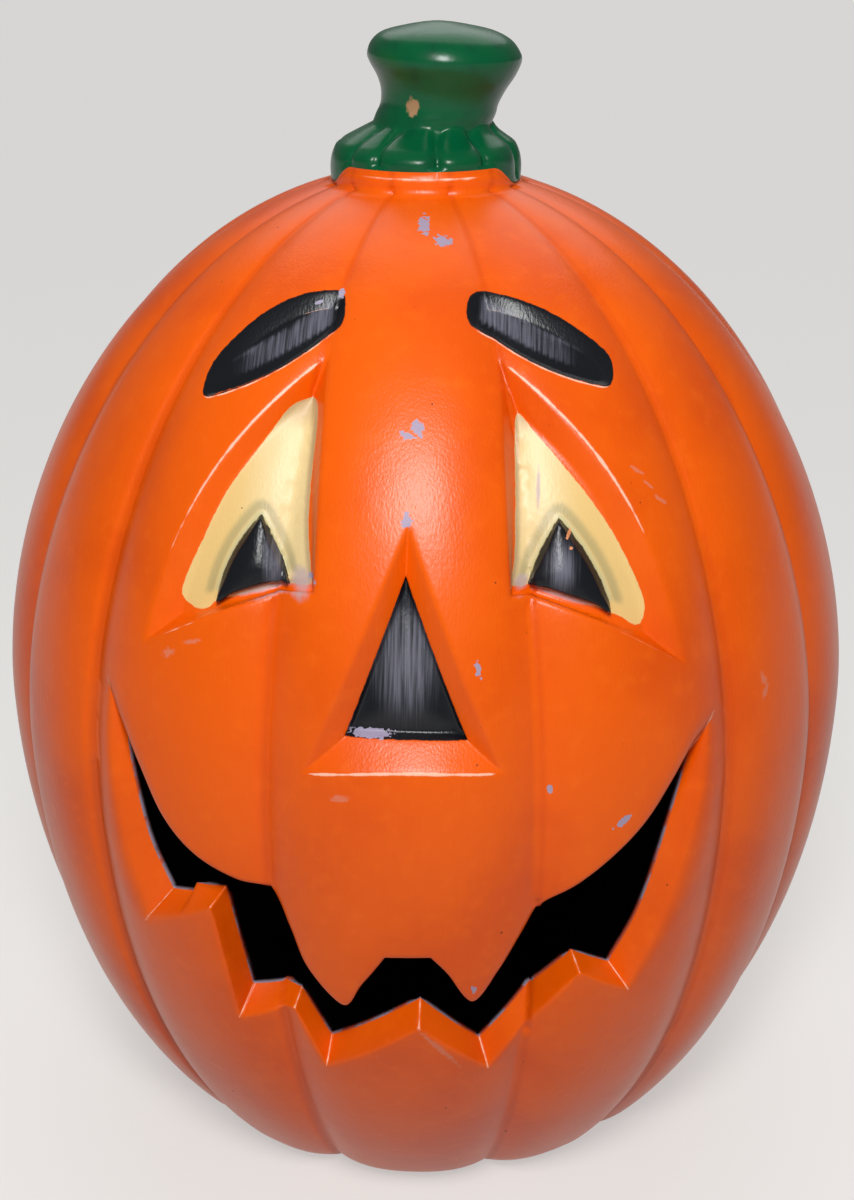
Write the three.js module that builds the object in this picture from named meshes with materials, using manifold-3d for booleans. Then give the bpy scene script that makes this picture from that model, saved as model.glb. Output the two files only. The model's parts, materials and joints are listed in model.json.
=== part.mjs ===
// A blow-moulded pumpkin light: one hollow polyethylene shell with a smiling face, and a lamp in its back.
// Millimetres, +Z up, the face looks along -Y, and the origin lies under the middle of the foot.
import * as THREE from 'three';
import { mergeVertices } from 'three/addons/utils/BufferGeometryUtils.js';
import Module from 'manifold-3d';

const wasm = await Module();
wasm.setup();

// Shell
const wall = 3; // blow-moulded wall
const bodyRadius = 235; // widest crest of the ribs
const waistHeight = 262; // where the body is widest
const upperFullness = 1.8; // the upper curve bulges by this power, where 2 would be an ellipse
const lowerReach = 330; // the lower curve is an ellipse cut off flat by the foot
const shoulderHeight = 538; // the body ends here, under the stem
const shoulderRadius = 52.6;
const footEdge = 14; // rounding between the foot and the side
const collarRadius = 47.5; // low orange step that the stem stands on
const collarHeight = 4;
const collarSink = 10; // how far it reaches down into the body

// Ribs: groove azimuths of one side in degrees from the front, the other side mirrors them
const grooveAzimuths = [17, 44.5, 64.5, 90, 115, 138, 163];
const grooveDepth = 13; // in the widest rib at the waist, less in a narrower one
const widestRib = 34; // degrees

// Stem: half width, sideways lean and height above the shoulder, from its foot to its top
const stemRings = [
  [50, 0, 0], [50, 0, 3], [47.5, 0, 5.5], [43, 0, 10], [35.5, 1.5, 15], [31, 4, 21], [30, 7, 28],
  [33, 9, 37], [38, 10, 47], [39.5, 9.5, 54], [35, 8, 61], [27, 6.5, 66], [14, 6, 69],
];
const stemSink = 6; // how far the stem's foot reaches into the body's top
const stemLobes = [-95, -50, -28, 10, 41, 78, 112, 150, 186, 226]; // azimuths of the grooves round its foot
const stemLobeDepth = 4.5;
const stemLobeHeight = 20; // the lobes fade out here

// Face: front view outlines as [x, z] on the outer surface, and how deep each recess is moulded.
// A recess runs from its rim to its floor, and each floor corner belongs to the rim corner in its place.
const eyeDepth = 10;
const noseDepth = 13;
const browDepth = 9;
const mouthDepth = 15;
const pupilRise = 5; // the pupils stand up from the eye floors
const pupilDraft = 1.5;
const drawnRadius = 235; // the outlines are drawn on a body of this radius and shoulder height, and follow it
const drawnHeight = 538;
const mouthTrim = 1; // the knife cut takes this much off the foot of the mouth's sloping walls

// Lamp: a plate with a lampholder tube snaps into the back, and a medium screw bulb turns into it
const lampHeight = 230;
const lampWellRadius = 44; // round flat seat sunk in the back
const lampWellDraft = 3;
const lampWellDepth = 23; // from the widest crest to the seat
const lampSeat = bodyRadius - lampWellDepth;
const lampHoleRadius = 29;
const clearance = 0.3; // between touching pieces
const plateRadius = 40;
const plateThickness = 2.5;
const holderRadius = 20; // tube that holds the screw shell
const holderReach = 47; // from the seat to the tube's mouth
const bulbBaseRadius = 13; // medium screw base
const threadClearance = 0.4; // between the bulb's base and the screw shell
const sheet = 0.5; // brass sheet of the contacts
const shellReach = 31.5; // length of the screw shell
const shellOpening = 7; // radius of the opening in the screw shell's end
const contactWidth = 5;
const contactRise = 7; // spring of the centre contact
const contactBend = 1; // corner cut off at its bend
const chamberRadius = 17; // wiring space behind the insulator
const chamberDepth = 15.5;
const insulatorThickness = 4;
const terminalSpread = 9; // from the lamp axis to each terminal screw
const capRadius = 20.5;
const capHeight = 12.5;
const capWall = 2;
const earRadius = 4.5;
const earThickness = 2.5;
const capScrewSpread = 25; // from the lamp axis to each cap screw
const capScrewLength = 7.4;
const terminalScrewLength = 3;
const bushingBore = 3; // the inlet, with no lead in it
const bushingRadius = 5;
const bushingFlange = 7;
const bushingFlangeThickness = 2;
const screwRadius = 1.5;
const screwHeadRadius = 3.2;
const screwHeadHeight = 2.2;
const headTopShare = 0.7; // of a head's radius that is left at its top
const clipWidth = 10;
const clipThickness = 0.8;
const clipFoot = 6.3; // radial length of the clip's riveted foot
const clipShank = 27.8; // from the lamp axis to the clip where it passes through the hole
const clipBulge = 3.2; // how far the spring catches behind the hole's edge
const clipReach = 22; // from the plate to the clip's free end
const clipKnee = 5; // behind the hole's edge, to where the clip stands out most
const clipLead = 2; // the free end leans in by this
const rivetSpread = 24.3; // from the lamp axis to each rivet
const rivetHeadHeight = 1.5;
const rivetTailRadius = 2.6;
const rivetTailHeight = 1;

// Bulb
const bulbLength = 89;
const bulbRadius = 24;
const bulbBaseLength = 25;
const bulbBaseSheet = 0.4;
const bulbContactRadius = 4.2;
const bulbContactHeight = 2;
const bulbInsulatorRadius = 9.2;
const bulbInsulatorHeight = 3.8;
const glassWall = 0.8;
const neckDepth = 11.5; // how far the glass neck reaches into the base
const globeEnd = 20; // degrees behind the globe's widest ring, to where the flare starts
const flareBulge = [3, 10]; // inwards and backwards, from the globe to the flare's curve
const neckStraight = 2; // the neck is straight from this far in front of the base
const neckBulge = 8; // and curves into the flare over this length
const mountLength = 27.5; // glass mount that carries the wires
const mountRadius = 3.5;
const mountWidening = 1; // towards its flare
const mountFlare = [6, 2]; // distances from its back end, where the flare starts and ends
const wireRadius = 0.5;
const wireSpread = 10; // from the bulb's axis to each lead wire's end
const wireLength = 22;
const wireBend = 0.6; // share of the spread that a lead wire has reached halfway
const filamentSag = 3;

// Paint and materials
function paint(color, roughness, metalness = 0) {
  return new THREE.MeshStandardMaterial({ color, roughness, metalness });
}

const orangePlastic = paint(0xd9480f, 0.42);
const darkPlastic = paint(0x1d1b1a, 0.5);
const phenolic = paint(0x2b1d16, 0.35);
const rubber = paint(0x141414, 0.8);
const brass = paint(0xb58a3c, 0.35, 1);
const springSteel = paint(0x8d9196, 0.35, 1);
const zincSteel = paint(0xb9bcc0, 0.3, 1);
const aluminium = paint(0xc9cbcd, 0.35, 1);
const frostedGlass = paint(0xf3efe6, 0.3);
const clearGlass = paint(0xdfe8e6, 0.05);
const tungsten = paint(0x55534f, 0.5, 1);

const pumpkinLight = new THREE.Group();
const lamp = new THREE.Group(); // its own +Z runs out of the back, from the seat
lamp.position.set(0, lampSeat, lampHeight);
lamp.rotation.x = -Math.PI / 2;
pumpkinLight.add(lamp);

const mergeDistance = 1e-3;

// Solids from closed three.js geometry, and back
function solid(geometry) {
  const bare = new THREE.BufferGeometry();
  bare.setAttribute('position', geometry.getAttribute('position').clone());
  bare.setIndex(geometry.getIndex());
  const merged = mergeVertices(bare, mergeDistance);
  const vertProperties = new Float32Array(merged.getAttribute('position').array);
  const triVerts = new Uint32Array(merged.index.array);
  return new wasm.Manifold(new wasm.Mesh({ numProp: 3, vertProperties, triVerts }));
}

function geometryOf(made) {
  const mesh = made.getMesh();
  const geometry = new THREE.BufferGeometry();
  geometry.setAttribute('position', new THREE.BufferAttribute(mesh.vertProperties, mesh.numProp));
  geometry.setIndex(new THREE.BufferAttribute(mesh.triVerts, 1));
  const shown = geometry.toNonIndexed();
  shown.computeVertexNormals();
  return shown;
}

function place(parent, name, made, material) {
  const mesh = new THREE.Mesh(geometryOf(made), material);
  mesh.name = name;
  parent.add(mesh);
}

// A closed solid through rings of equal point counts, whose end rings are closed by their flattened outlines
function loft(rings, flatten) {
  const count = rings[0].length;
  const index = [];
  for (let ring = 0; ring + 1 < rings.length; ring++) {
    for (let k = 0; k < count; k++) {
      const a = ring * count + k;
      const b = ring * count + (k + 1) % count;
      index.push(a, b, b + count, a, b + count, a + count);
    }
  }
  const last = (rings.length - 1) * count;
  for (const [a, b, c] of THREE.ShapeUtils.triangulateShape(rings[0].map(flatten), [])) index.push(c, b, a);
  for (const [a, b, c] of THREE.ShapeUtils.triangulateShape(rings.at(-1).map(flatten), [])) {
    index.push(last + a, last + b, last + c);
  }
  return solid(new THREE.BufferGeometry().setFromPoints(rings.flat()).setIndex(index));
}

// A solid of revolution about the lamp axis from [radius, distance] corners, whose section runs anticlockwise
function turned(corners, segments = 24) {
  const profile = corners.map(([radius, along]) => new THREE.Vector2(radius, along));
  if (corners[0][0] > 0) profile.push(profile[0].clone());
  return solid(new THREE.LatheGeometry(profile, segments).rotateX(Math.PI / 2));
}

function rod(radius, from, to, segments = 24) {
  return turned([[0, from], [radius, from], [radius, to], [0, to]], segments);
}

// Body surface
const radians = THREE.MathUtils.degToRad;
const fullTurn = 360;
const grooves = [...grooveAzimuths.map((a) => -a).reverse(), ...grooveAzimuths];
grooves.push(grooves[0] + fullTurn);

// From the waist to where the upper curve would close
const upperReach = (shoulderHeight - waistHeight)
  / (1 - (shoulderRadius / bodyRadius) ** 2) ** (1 / upperFullness);

function crest(height) {
  const upper = height > waistHeight;
  const share = Math.abs(height - waistHeight) / (upper ? upperReach : lowerReach);
  const radius = bodyRadius * Math.sqrt(1 - share ** (upper ? upperFullness : 2));
  const low = Math.max(0, 1 - height / footEdge);
  return radius - footEdge * (1 - Math.sqrt(1 - low ** 2));
}

function acrossRib(azimuth, edges) {
  let turn = azimuth;
  while (turn < edges[0]) turn += fullTurn;
  while (turn >= edges.at(-1)) turn -= fullTurn;
  const k = edges.findIndex((edge) => turn < edge);
  const width = edges[k] - edges[k - 1];
  return { width, share: (2 * turn - edges[k] - edges[k - 1]) / width };
}

function bodyPoint(azimuth, height, inset) {
  const { width, share } = acrossRib(azimuth, grooves);
  const depth = (grooveDepth / bodyRadius) * (width / widestRib);
  const radius = crest(height) * (1 - depth * Math.abs(share) ** 3) - inset;
  const a = radians(azimuth);
  return new THREE.Vector3(radius * Math.sin(a), -radius * Math.cos(a), height);
}

// The front surface's point at a place in the front view, moved back by a depth
function frontPoint([x, z], depth) {
  let azimuth = 0;
  for (let step = 0; step < 12; step++) {
    const guess = bodyPoint(azimuth, z, 0);
    azimuth = THREE.MathUtils.radToDeg(Math.asin(x / Math.hypot(guess.x, guess.y)));
  }
  return new THREE.Vector3(x, bodyPoint(azimuth, z, 0).y + depth, z);
}

const fromAbove = (p) => new THREE.Vector2(p.x, p.y);
const fromFront = (p) => new THREE.Vector2(p.x, p.z);

function azimuthSteps(perRib) {
  const steps = [];
  for (let k = 0; k + 1 < grooves.length; k++) {
    for (let i = 0; i < perRib; i++) steps.push(grooves[k] + (grooves[k + 1] - grooves[k]) * (i / perRib));
  }
  return steps;
}

function bodySolid(perRib, rows, inset, floor, top) {
  const azimuths = azimuthSteps(perRib);
  const rings = [];
  for (let row = 0; row <= rows; row++) {
    const share = (1 - Math.cos(Math.PI * row / rows)) / 2;
    const height = floor + (top - floor) * share;
    rings.push(azimuths.map((azimuth) => bodyPoint(azimuth, height, inset)));
  }
  return loft(rings, fromAbove);
}

const stemFoot = shoulderHeight + collarHeight;

function stemSolid(segments, steps, inset) {
  const course = new THREE.CatmullRomCurve3(stemRings.map((ring) => new THREE.Vector3(...ring)));
  const edges = [...stemLobes, stemLobes[0] + fullTurn];
  const rings = [0, ...Array(steps + 1).keys()].map((step, row) => {
    const { x: halfWidth, y: lean, z: rise } = course.getPoint(step / steps);
    const sunk = row === 0 ? stemSink + inset : 0;
    const fade = Math.max(0, 1 - rise / stemLobeHeight);
    return Array.from({ length: segments }, (_, k) => {
      const azimuth = (fullTurn * k) / segments;
      const radius = halfWidth - stemLobeDepth * fade * acrossRib(azimuth, edges).share ** 2 - inset;
      const a = radians(azimuth);
      const height = stemFoot + rise - sunk - (step === steps ? inset : 0);
      return new THREE.Vector3(lean + radius * Math.sin(a), -radius * Math.cos(a), height);
    });
  });
  return loft(rings, fromAbove);
}

const placed = ([x, z]) => [x * (bodyRadius / drawnRadius), z * (shoulderHeight / drawnHeight)];

// Face outlines: corners joined by quadratic curves, as [corner, bulge point, corner, bulge point, ...].
// A null bulge gives a straight side.
function outline(corners, steps = 5) {
  const points = [];
  for (let k = 0; k < corners.length; k += 2) {
    const start = new THREE.Vector2(...corners[k]);
    const end = new THREE.Vector2(...corners[(k + 2) % corners.length]);
    const bulge = corners[k + 1];
    const side = bulge
      ? new THREE.QuadraticBezierCurve(start, new THREE.Vector2(...bulge), end)
      : new THREE.LineCurve(start, end);
    points.push(...side.getPoints(steps).slice(0, -1));
  }
  return points.map((p) => placed([p.x, p.y]));
}

const leftEyeRim = outline([[-38, 473], [-105, 432], [-124, 346], [-84, 373], [-41, 380], null]);
const leftEyeFloor = outline([[-46, 455], [-92, 424], [-105, 360], [-80, 370], [-42, 377], null]);
const rightEyeRim = outline([[41, 472], [110, 432], [131, 339], [87, 374], [49, 378], null]);
const rightEyeFloor = outline([[50, 450], [96, 418], [111, 354], [80, 370], [49, 376], null]);
const leftPupil = outline([[-67, 408], [-84, 391], [-88, 369], [-70, 377], [-52, 379], [-58, 394]], 4);
const rightPupil = outline([[70, 407], [60, 392], [57, 380], [78, 374], [95, 367], [88, 390]], 4);
const leftBrowRim = outline([
  [-34, 487], null, [-35, 497], [-67, 500], [-95, 465], null, [-98, 452], [-64, 464],
], 4);
const leftBrowFloor = outline([
  [-37, 485], null, [-38, 489], [-64, 489], [-90, 459], null, [-93, 453], [-62, 465],
], 4);
const rightBrowRim = outline([
  [27, 488], null, [28, 497], [60, 498], [92, 469], null, [92, 460], [58, 469],
], 4);
const rightBrowFloor = outline([
  [30, 486], null, [31, 490], [58, 489], [87, 465], null, [88, 461], [57, 470],
], 4);
const noseRim = outline([[2, 411], null, [-46, 299], [0, 308], [47, 301], null], 4);
const noseFloor = outline([[1, 387], null, [-26, 316], [2, 316], [30, 315], null], 4);

// The mouth's rim and the edge of its cut-out: right along the upper lip, then back along the lower lip
const upperLipRim = [
  [-145, 326], [-136, 305], [-128, 285], [-117, 263], [-101, 247], [-80, 236], [-63, 230], [-54, 211],
  [-46, 190], [-30, 172], [-20, 184], [-13, 197], [-5, 207], [9, 207], [20, 196], [34, 176], [46, 192],
  [56, 210], [66, 226], [83, 238], [101, 253], [116, 268], [127, 284], [138, 302],
];
const upperLipCut = [
  [-138, 296], [-131, 285], [-124, 272], [-113, 256], [-99, 242], [-80, 231], [-66, 226], [-58, 209],
  [-50, 187], [-30, 165], [-16, 181], [-9, 194], [-3, 202], [7, 202], [16, 193], [34, 169], [50, 189],
  [60, 207], [69, 221], [84, 233], [99, 248], [112, 262], [122, 275], [131, 288],
];
const lowerLipRim = [
  [145, 314], [144, 274], [131, 215], [111, 167], [86, 185], [42, 124], [8, 159], [-40, 122], [-55, 158],
  [-84, 147], [-94, 218], [-131, 196], [-144, 235], [-147, 280],
];
const lowerLipCut = [
  [136, 290], [127, 254], [115, 209], [101, 178], [82, 189], [37, 136], [8, 168], [-38, 134], [-57, 159],
  [-78, 160], [-89, 220], [-117, 212], [-128, 238], [-136, 276],
];
const mouthRim = [...upperLipRim, ...lowerLipRim].map(placed);
const mouthCut = [...upperLipCut, ...lowerLipCut].map(placed);

const frontLimit = -bodyRadius - 20; // columns start in front of the body
const backLimit = -40; // and end well inside it
const atDistance = (outlinePoints, y) => outlinePoints.map(([x, z]) => new THREE.Vector3(x, y, z));

function counterClockwise(points) {
  return THREE.ShapeUtils.area(points.map(([x, z]) => new THREE.Vector2(x, z))) > 0;
}

// An outline grown outwards by a distance, along the bisectors of its sides
function grown(points, distance) {
  const way = counterClockwise(points) ? 1 : -1;
  return points.map(([x, z], k) => {
    const [px, pz] = points.at(k - 1);
    const [nx, nz] = points[(k + 1) % points.length];
    const along = new THREE.Vector2(nx - px, nz - pz).normalize();
    return [x + way * distance * along.y, z - way * distance * along.x];
  });
}

// A column through the body's front along Y. It has one outline down to a first depth under the surface,
// slopes to another outline at a second depth, and runs straight on from there.
function column(first, firstDepth, second, secondDepth) {
  const rings = [
    atDistance(first, frontLimit),
    first.map((p) => frontPoint(p, firstDepth)),
    second.map((p) => frontPoint(p, secondDepth)),
    atDistance(second, backLimit),
  ];
  const ordered = counterClockwise(first) ? rings : rings.map((ring) => [...ring].reverse());
  return loft(ordered.reverse(), fromFront);
}

const prism = (points) => column(points, 0, points, 1);

function pumpkinShell() {
  const body = bodySolid(5, 20, 0, 0, shoulderHeight);
  const collar = rod(collarRadius, -collarSink, collarHeight, 40);
  let outside = body.add(collar.translate([0, 0, shoulderHeight])).add(stemSolid(36, 11, 0));
  let inside = bodySolid(3, 12, wall, wall, shoulderHeight - wall).add(stemSolid(16, 6, wall));

  // The floor of a recess follows the body's front, moved straight back
  const floorForm = bodySolid(3, 14, 0, 0, shoulderHeight);
  const movedBack = (depth) => floorForm.translate([0, depth, 0]);
  const recesses = [
    [leftEyeRim, leftEyeFloor, eyeDepth, leftPupil],
    [rightEyeRim, rightEyeFloor, eyeDepth, rightPupil],
    [noseRim, noseFloor, noseDepth],
    [leftBrowRim, leftBrowFloor, browDepth],
    [rightBrowRim, rightBrowFloor, browDepth],
    [mouthRim, mouthCut, mouthDepth],
  ];
  for (const [rim, floor, depth, island] of recesses) {
    let space = column(rim, 0, floor, depth).subtract(movedBack(depth));
    let backed = column(grown(rim, wall), 0, grown(floor, wall), depth + wall)
      .subtract(movedBack(depth + wall));
    if (island) {
      const top = depth - pupilRise;
      space = space.subtract(column(island, top, grown(island, pupilDraft), depth).intersect(movedBack(top)));
      backed = backed.subtract(prism(grown(island, -wall)).intersect(movedBack(top + wall)));
    }
    outside = outside.subtract(space);
    inside = inside.subtract(backed);
  }

  const wellDepth = lampWellDepth + lampWellDraft;
  const well = turned([
    [0, 0], [lampWellRadius, 0], [lampWellRadius + lampWellDraft, wellDepth], [0, wellDepth],
  ], 36);
  const toBack = (made) => made.rotate([-90, 0, 0]).translate([0, lampSeat, lampHeight]);
  outside = outside.subtract(toBack(well));
  inside = inside.subtract(toBack(rod(lampWellRadius + wall, -wall, wellDepth, 36)));

  return outside
    .subtract(inside)
    .subtract(prism(grown(mouthCut, mouthTrim)))
    .subtract(toBack(rod(lampHoleRadius, -2 * wall, wall, 36)));
}

// Lampholder. Distances run from the seat out of the back, so what reaches into the pumpkin is negative.
const plateBack = clearance + plateThickness;
const holderMouth = clearance - holderReach;
const chamberFloor = plateBack - chamberDepth;
const screwShellInside = bulbBaseRadius + threadClearance;
const screwShellOutside = screwShellInside + sheet;
const screwShellEnd = chamberFloor; // its end flange lies just in front of the insulator
const insulatorFront = chamberFloor + clearance;
const insulatorBack = insulatorFront + insulatorThickness;
const capFront = plateBack + clearance;
const capBack = capFront + capHeight;
const earBack = capFront + earThickness;
const boltHole = screwRadius + clearance;

const beside = (made, x, y = 0) => made.translate([x, y, 0]);

function lampholder() {
  const made = turned([
    [chamberRadius, plateBack], [chamberRadius, chamberFloor], [screwShellOutside + clearance, chamberFloor],
    [screwShellOutside + clearance, holderMouth], [holderRadius, holderMouth], [holderRadius, clearance],
    [plateRadius, clearance], [plateRadius, plateBack],
  ], 36);
  const hole = rod(boltHole, 0, plateBack + clearance, 12);
  return [-1, 1].reduce((piece, side) => piece
    .subtract(beside(hole, side * capScrewSpread))
    .subtract(beside(hole, 0, side * rivetSpread)), made);
}

function insulator() {
  const made = rod(chamberRadius - clearance, insulatorFront, insulatorBack);
  const hole = rod(boltHole, insulatorFront - 1, insulatorBack + 1, 12);
  return made.subtract(beside(hole, -terminalSpread)).subtract(beside(hole, terminalSpread));
}

const screwShell = () => turned([
  [screwShellInside, screwShellEnd - shellReach], [screwShellOutside, screwShellEnd - shellReach],
  [screwShellOutside, screwShellEnd], [shellOpening, screwShellEnd], [shellOpening, screwShellEnd - sheet],
  [screwShellInside, screwShellEnd - sheet],
]);

// A strip bent along a middle line of [radius, distance] points, with its width across the lamp axis
function strip(line, thickness, width) {
  const points = line.map((p) => new THREE.Vector2(...p));
  const side = (way) => points.map((p, k) => {
    const before = points[Math.max(k - 1, 0)];
    const after = points[Math.min(k + 1, points.length - 1)];
    const first = p.clone().sub(k > 0 ? before : after).multiplyScalar(k > 0 ? 1 : -1).normalize();
    const second = after.clone().sub(k < points.length - 1 ? p : before).normalize();
    const normal = first.add(second).normalize();
    const turn = k > 0 && k < points.length - 1 ? normal.dot(second) : 1;
    const reach = (way * thickness) / 2 / turn;
    return new THREE.Vector2(p.x - normal.y * reach, p.y + normal.x * reach);
  });
  const shape = new THREE.Shape([...side(-1), ...side(1).reverse()]);
  const made = new THREE.ExtrudeGeometry(shape, { depth: width, bevelEnabled: false });
  return solid(made.rotateX(Math.PI / 2).translate(0, width / 2, 0));
}

const contactFoot = screwShellEnd - sheet / 2;
const contactTop = contactFoot - contactRise;

const centreContact = () => strip([
  [contactWidth, contactFoot], [-contactWidth + contactBend, contactFoot],
  [-contactWidth, contactFoot - contactBend],
  [-contactWidth / 2, contactTop], [contactWidth / 2, contactTop],
], sheet, contactWidth);

// A pan-head screw whose head rests just above a face
const screw = (face, length) => turned([
  [0, face + clearance - length], [screwRadius, face + clearance - length], [screwRadius, face + clearance],
  [screwHeadRadius, face + clearance], [screwHeadRadius, face + clearance + screwHeadHeight / 2],
  [screwHeadRadius * headTopShare, face + clearance + screwHeadHeight],
  [0, face + clearance + screwHeadHeight],
], 16);

function wiringCap() {
  const inletRadius = bushingRadius + clearance;
  let made = turned([
    [inletRadius, capBack - capWall], [capRadius - capWall, capBack - capWall],
    [capRadius - capWall, capFront], [capRadius, capFront], [capRadius, capBack], [inletRadius, capBack],
  ], 36);
  for (const side of [-1, 1]) {
    const reach = capScrewSpread - capRadius + capWall / 2;
    const web = new THREE.BoxGeometry(reach, 2 * earRadius, earThickness);
    web.translate(side * (capScrewSpread - reach / 2), 0, capFront + earThickness / 2);
    made = made
      .add(beside(rod(earRadius, capFront, earBack, 20), side * capScrewSpread))
      .add(solid(web))
      .subtract(beside(rod(boltHole, capFront - 1, earBack + 1, 12), side * capScrewSpread));
  }
  return made;
}

function inletBushing() {
  const inner = capBack - capWall - clearance;
  const outer = capBack + clearance;
  return turned([
    [bushingBore, inner - bushingFlangeThickness], [bushingFlange, inner - bushingFlangeThickness],
    [bushingFlange, inner], [bushingRadius, inner], [bushingRadius, outer], [bushingFlange, outer],
    [bushingFlange, outer + bushingFlangeThickness], [bushingBore, outer + bushingFlangeThickness],
  ], 20);
}

// Spring clips above and below the tube, riveted to the plate
const clipTop = -clipThickness / 2;

function clip(side) {
  const bent = strip([
    [clipShank - clipFoot, clipTop], [clipShank, clipTop], [clipShank, -wall - clearance],
    [clipShank + clipBulge, -wall - clipKnee], [clipShank - clipLead, -clipReach],
  ], clipThickness, clipWidth);
  const holed = bent.subtract(beside(rod(boltHole, -2 * clipThickness, clipThickness, 12), rivetSpread));
  return holed.rotate([0, 0, 90 * side]);
}

function rivet(side) {
  const footFace = -clipThickness - clearance;
  const headFace = plateBack + clearance;
  const made = turned([
    [0, footFace - rivetTailHeight], [rivetTailRadius, footFace - rivetTailHeight],
    [rivetTailRadius, footFace], [screwRadius, footFace], [screwRadius, headFace], [screwHeadRadius, headFace],
    [screwHeadRadius * headTopShare, headFace + rivetHeadHeight], [0, headFace + rivetHeadHeight],
  ], 16);
  return beside(made, 0, side * rivetSpread);
}

place(pumpkinLight, 'pumpkin_shell', pumpkinShell(), orangePlastic);
place(lamp, 'lampholder', lampholder(), darkPlastic);
place(lamp, 'insulator', insulator(), phenolic);
place(lamp, 'screw_shell', screwShell(), brass);
place(lamp, 'centre_contact', centreContact(), brass);
place(lamp, 'wiring_cap', wiringCap(), darkPlastic);
place(lamp, 'inlet_bushing', inletBushing(), rubber);
for (const [name, side] of [['left', -1], ['right', 1]]) {
  const terminalScrew = screw(insulatorBack, terminalScrewLength);
  const capScrew = screw(earBack, capScrewLength);
  place(lamp, `terminal_screw_${name}`, beside(terminalScrew, side * terminalSpread), brass);
  place(lamp, `cap_screw_${name}`, beside(capScrew, side * capScrewSpread), zincSteel);
}
for (const [name, side] of [['upper', -1], ['lower', 1]]) {
  place(lamp, `spring_clip_${name}`, clip(side), springSteel);
  place(lamp, `clip_rivet_${name}`, rivet(side), zincSteel);
}

// Bulb, whose contact just meets the centre contact
const bulbEnd = contactTop - sheet / 2 - clearance;
const bulbContactFace = bulbEnd - bulbContactHeight;
const bulbInsulatorBack = bulbContactFace - clearance;
const bulbInsulatorFront = bulbInsulatorBack - bulbInsulatorHeight;
const baseRim = bulbEnd - bulbBaseLength;
const baseOpening = bulbInsulatorRadius + clearance;
const neckRadius = bulbBaseRadius - bulbBaseSheet - clearance;
const neckEnd = baseRim + neckDepth;
const bulbTip = bulbEnd - bulbLength;
const mountBack = neckEnd - clearance;
const mountFront = mountBack - mountLength;
const wireStart = mountFront - clearance;
const wireEnd = wireStart - wireLength;

const bulbContact = () => turned([
  [0, bulbContactFace], [bulbContactRadius, bulbContactFace],
  [bulbContactRadius, bulbEnd - bulbContactHeight / 2],
  [bulbContactRadius / 2, bulbEnd], [0, bulbEnd],
], 16);

const bulbInsulator = () => turned([
  [0, bulbInsulatorFront], [bulbInsulatorRadius, bulbInsulatorFront],
  [bulbInsulatorRadius, bulbInsulatorFront + bulbInsulatorHeight / 3],
  [bulbContactRadius + clearance, bulbInsulatorBack], [0, bulbInsulatorBack],
], 20);

function bulbScrewBase() {
  const lip = bulbInsulatorFront + bulbInsulatorHeight / 3;
  const cone = (bulbBaseRadius - baseOpening) / 2;
  return turned([
    [bulbBaseRadius - bulbBaseSheet, baseRim], [bulbBaseRadius, baseRim], [bulbBaseRadius, lip - cone],
    [baseOpening, lip], [baseOpening, lip - bulbBaseSheet],
    [bulbBaseRadius - bulbBaseSheet, lip - cone - bulbBaseSheet],
  ]);
}

// The glass: a straight neck, a flare and a round globe, open at the neck
function bulbGlass() {
  const globeMiddle = bulbTip + bulbRadius;
  const wallLine = (inset) => {
    const radius = bulbRadius - inset;
    const globe = new THREE.EllipseCurve(0, globeMiddle, radius, radius, -Math.PI / 2, radians(globeEnd));
    const flareStart = globe.getPoint(1);
    const neckStart = new THREE.Vector2(neckRadius - inset, baseRim - neckStraight);
    const flare = new THREE.CubicBezierCurve(
      flareStart, new THREE.Vector2(flareStart.x - flareBulge[0], flareStart.y + flareBulge[1]),
      new THREE.Vector2(neckStart.x, neckStart.y - neckBulge), neckStart,
    );
    return [...globe.getPoints(8), ...flare.getPoints(5).slice(1), new THREE.Vector2(neckStart.x, neckEnd)];
  };
  const profile = [...wallLine(0), ...wallLine(glassWall).reverse()];
  profile[0].x = 0;
  profile.at(-1).x = 0;
  return solid(new THREE.LatheGeometry(profile, 24).rotateX(Math.PI / 2));
}

function bulbMount() {
  const flange = neckRadius - glassWall - clearance;
  return turned([
    [0, mountFront], [mountRadius, mountFront], [mountRadius + mountWidening, mountBack - mountFlare[0]],
    [flange, mountBack - mountFlare[1]], [flange, mountBack], [0, mountBack],
  ], 16);
}

// A wire along a smooth line through points, with a hexagonal section
function wire(points, steps) {
  const section = new THREE.Shape(Array.from({ length: 6 }, (_, k) => {
    const a = (k * Math.PI) / 3;
    return new THREE.Vector2(wireRadius * Math.cos(a), wireRadius * Math.sin(a));
  }));
  const extrudePath = new THREE.CatmullRomCurve3(points.map((p) => new THREE.Vector3(...p)));
  return solid(new THREE.ExtrudeGeometry(section, { steps, extrudePath }));
}

const leadWire = (side) => wire([
  [side * mountRadius / 2, 0, wireStart], [side * wireSpread * wireBend, 0, wireStart - wireLength / 2],
  [side * wireSpread, 0, wireEnd],
], 6);

const filamentEnd = wireSpread - 2 * wireRadius - clearance;
const filament = () => wire([
  [-filamentEnd, 0, wireEnd], [0, 0, wireEnd - filamentSag], [filamentEnd, 0, wireEnd],
], 12);

const supportEnd = wireEnd - filamentSag + 2 * wireRadius + clearance;
const supportWire = () => wire([[0, 0, wireStart], [0, 0, supportEnd]], 1);

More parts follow.
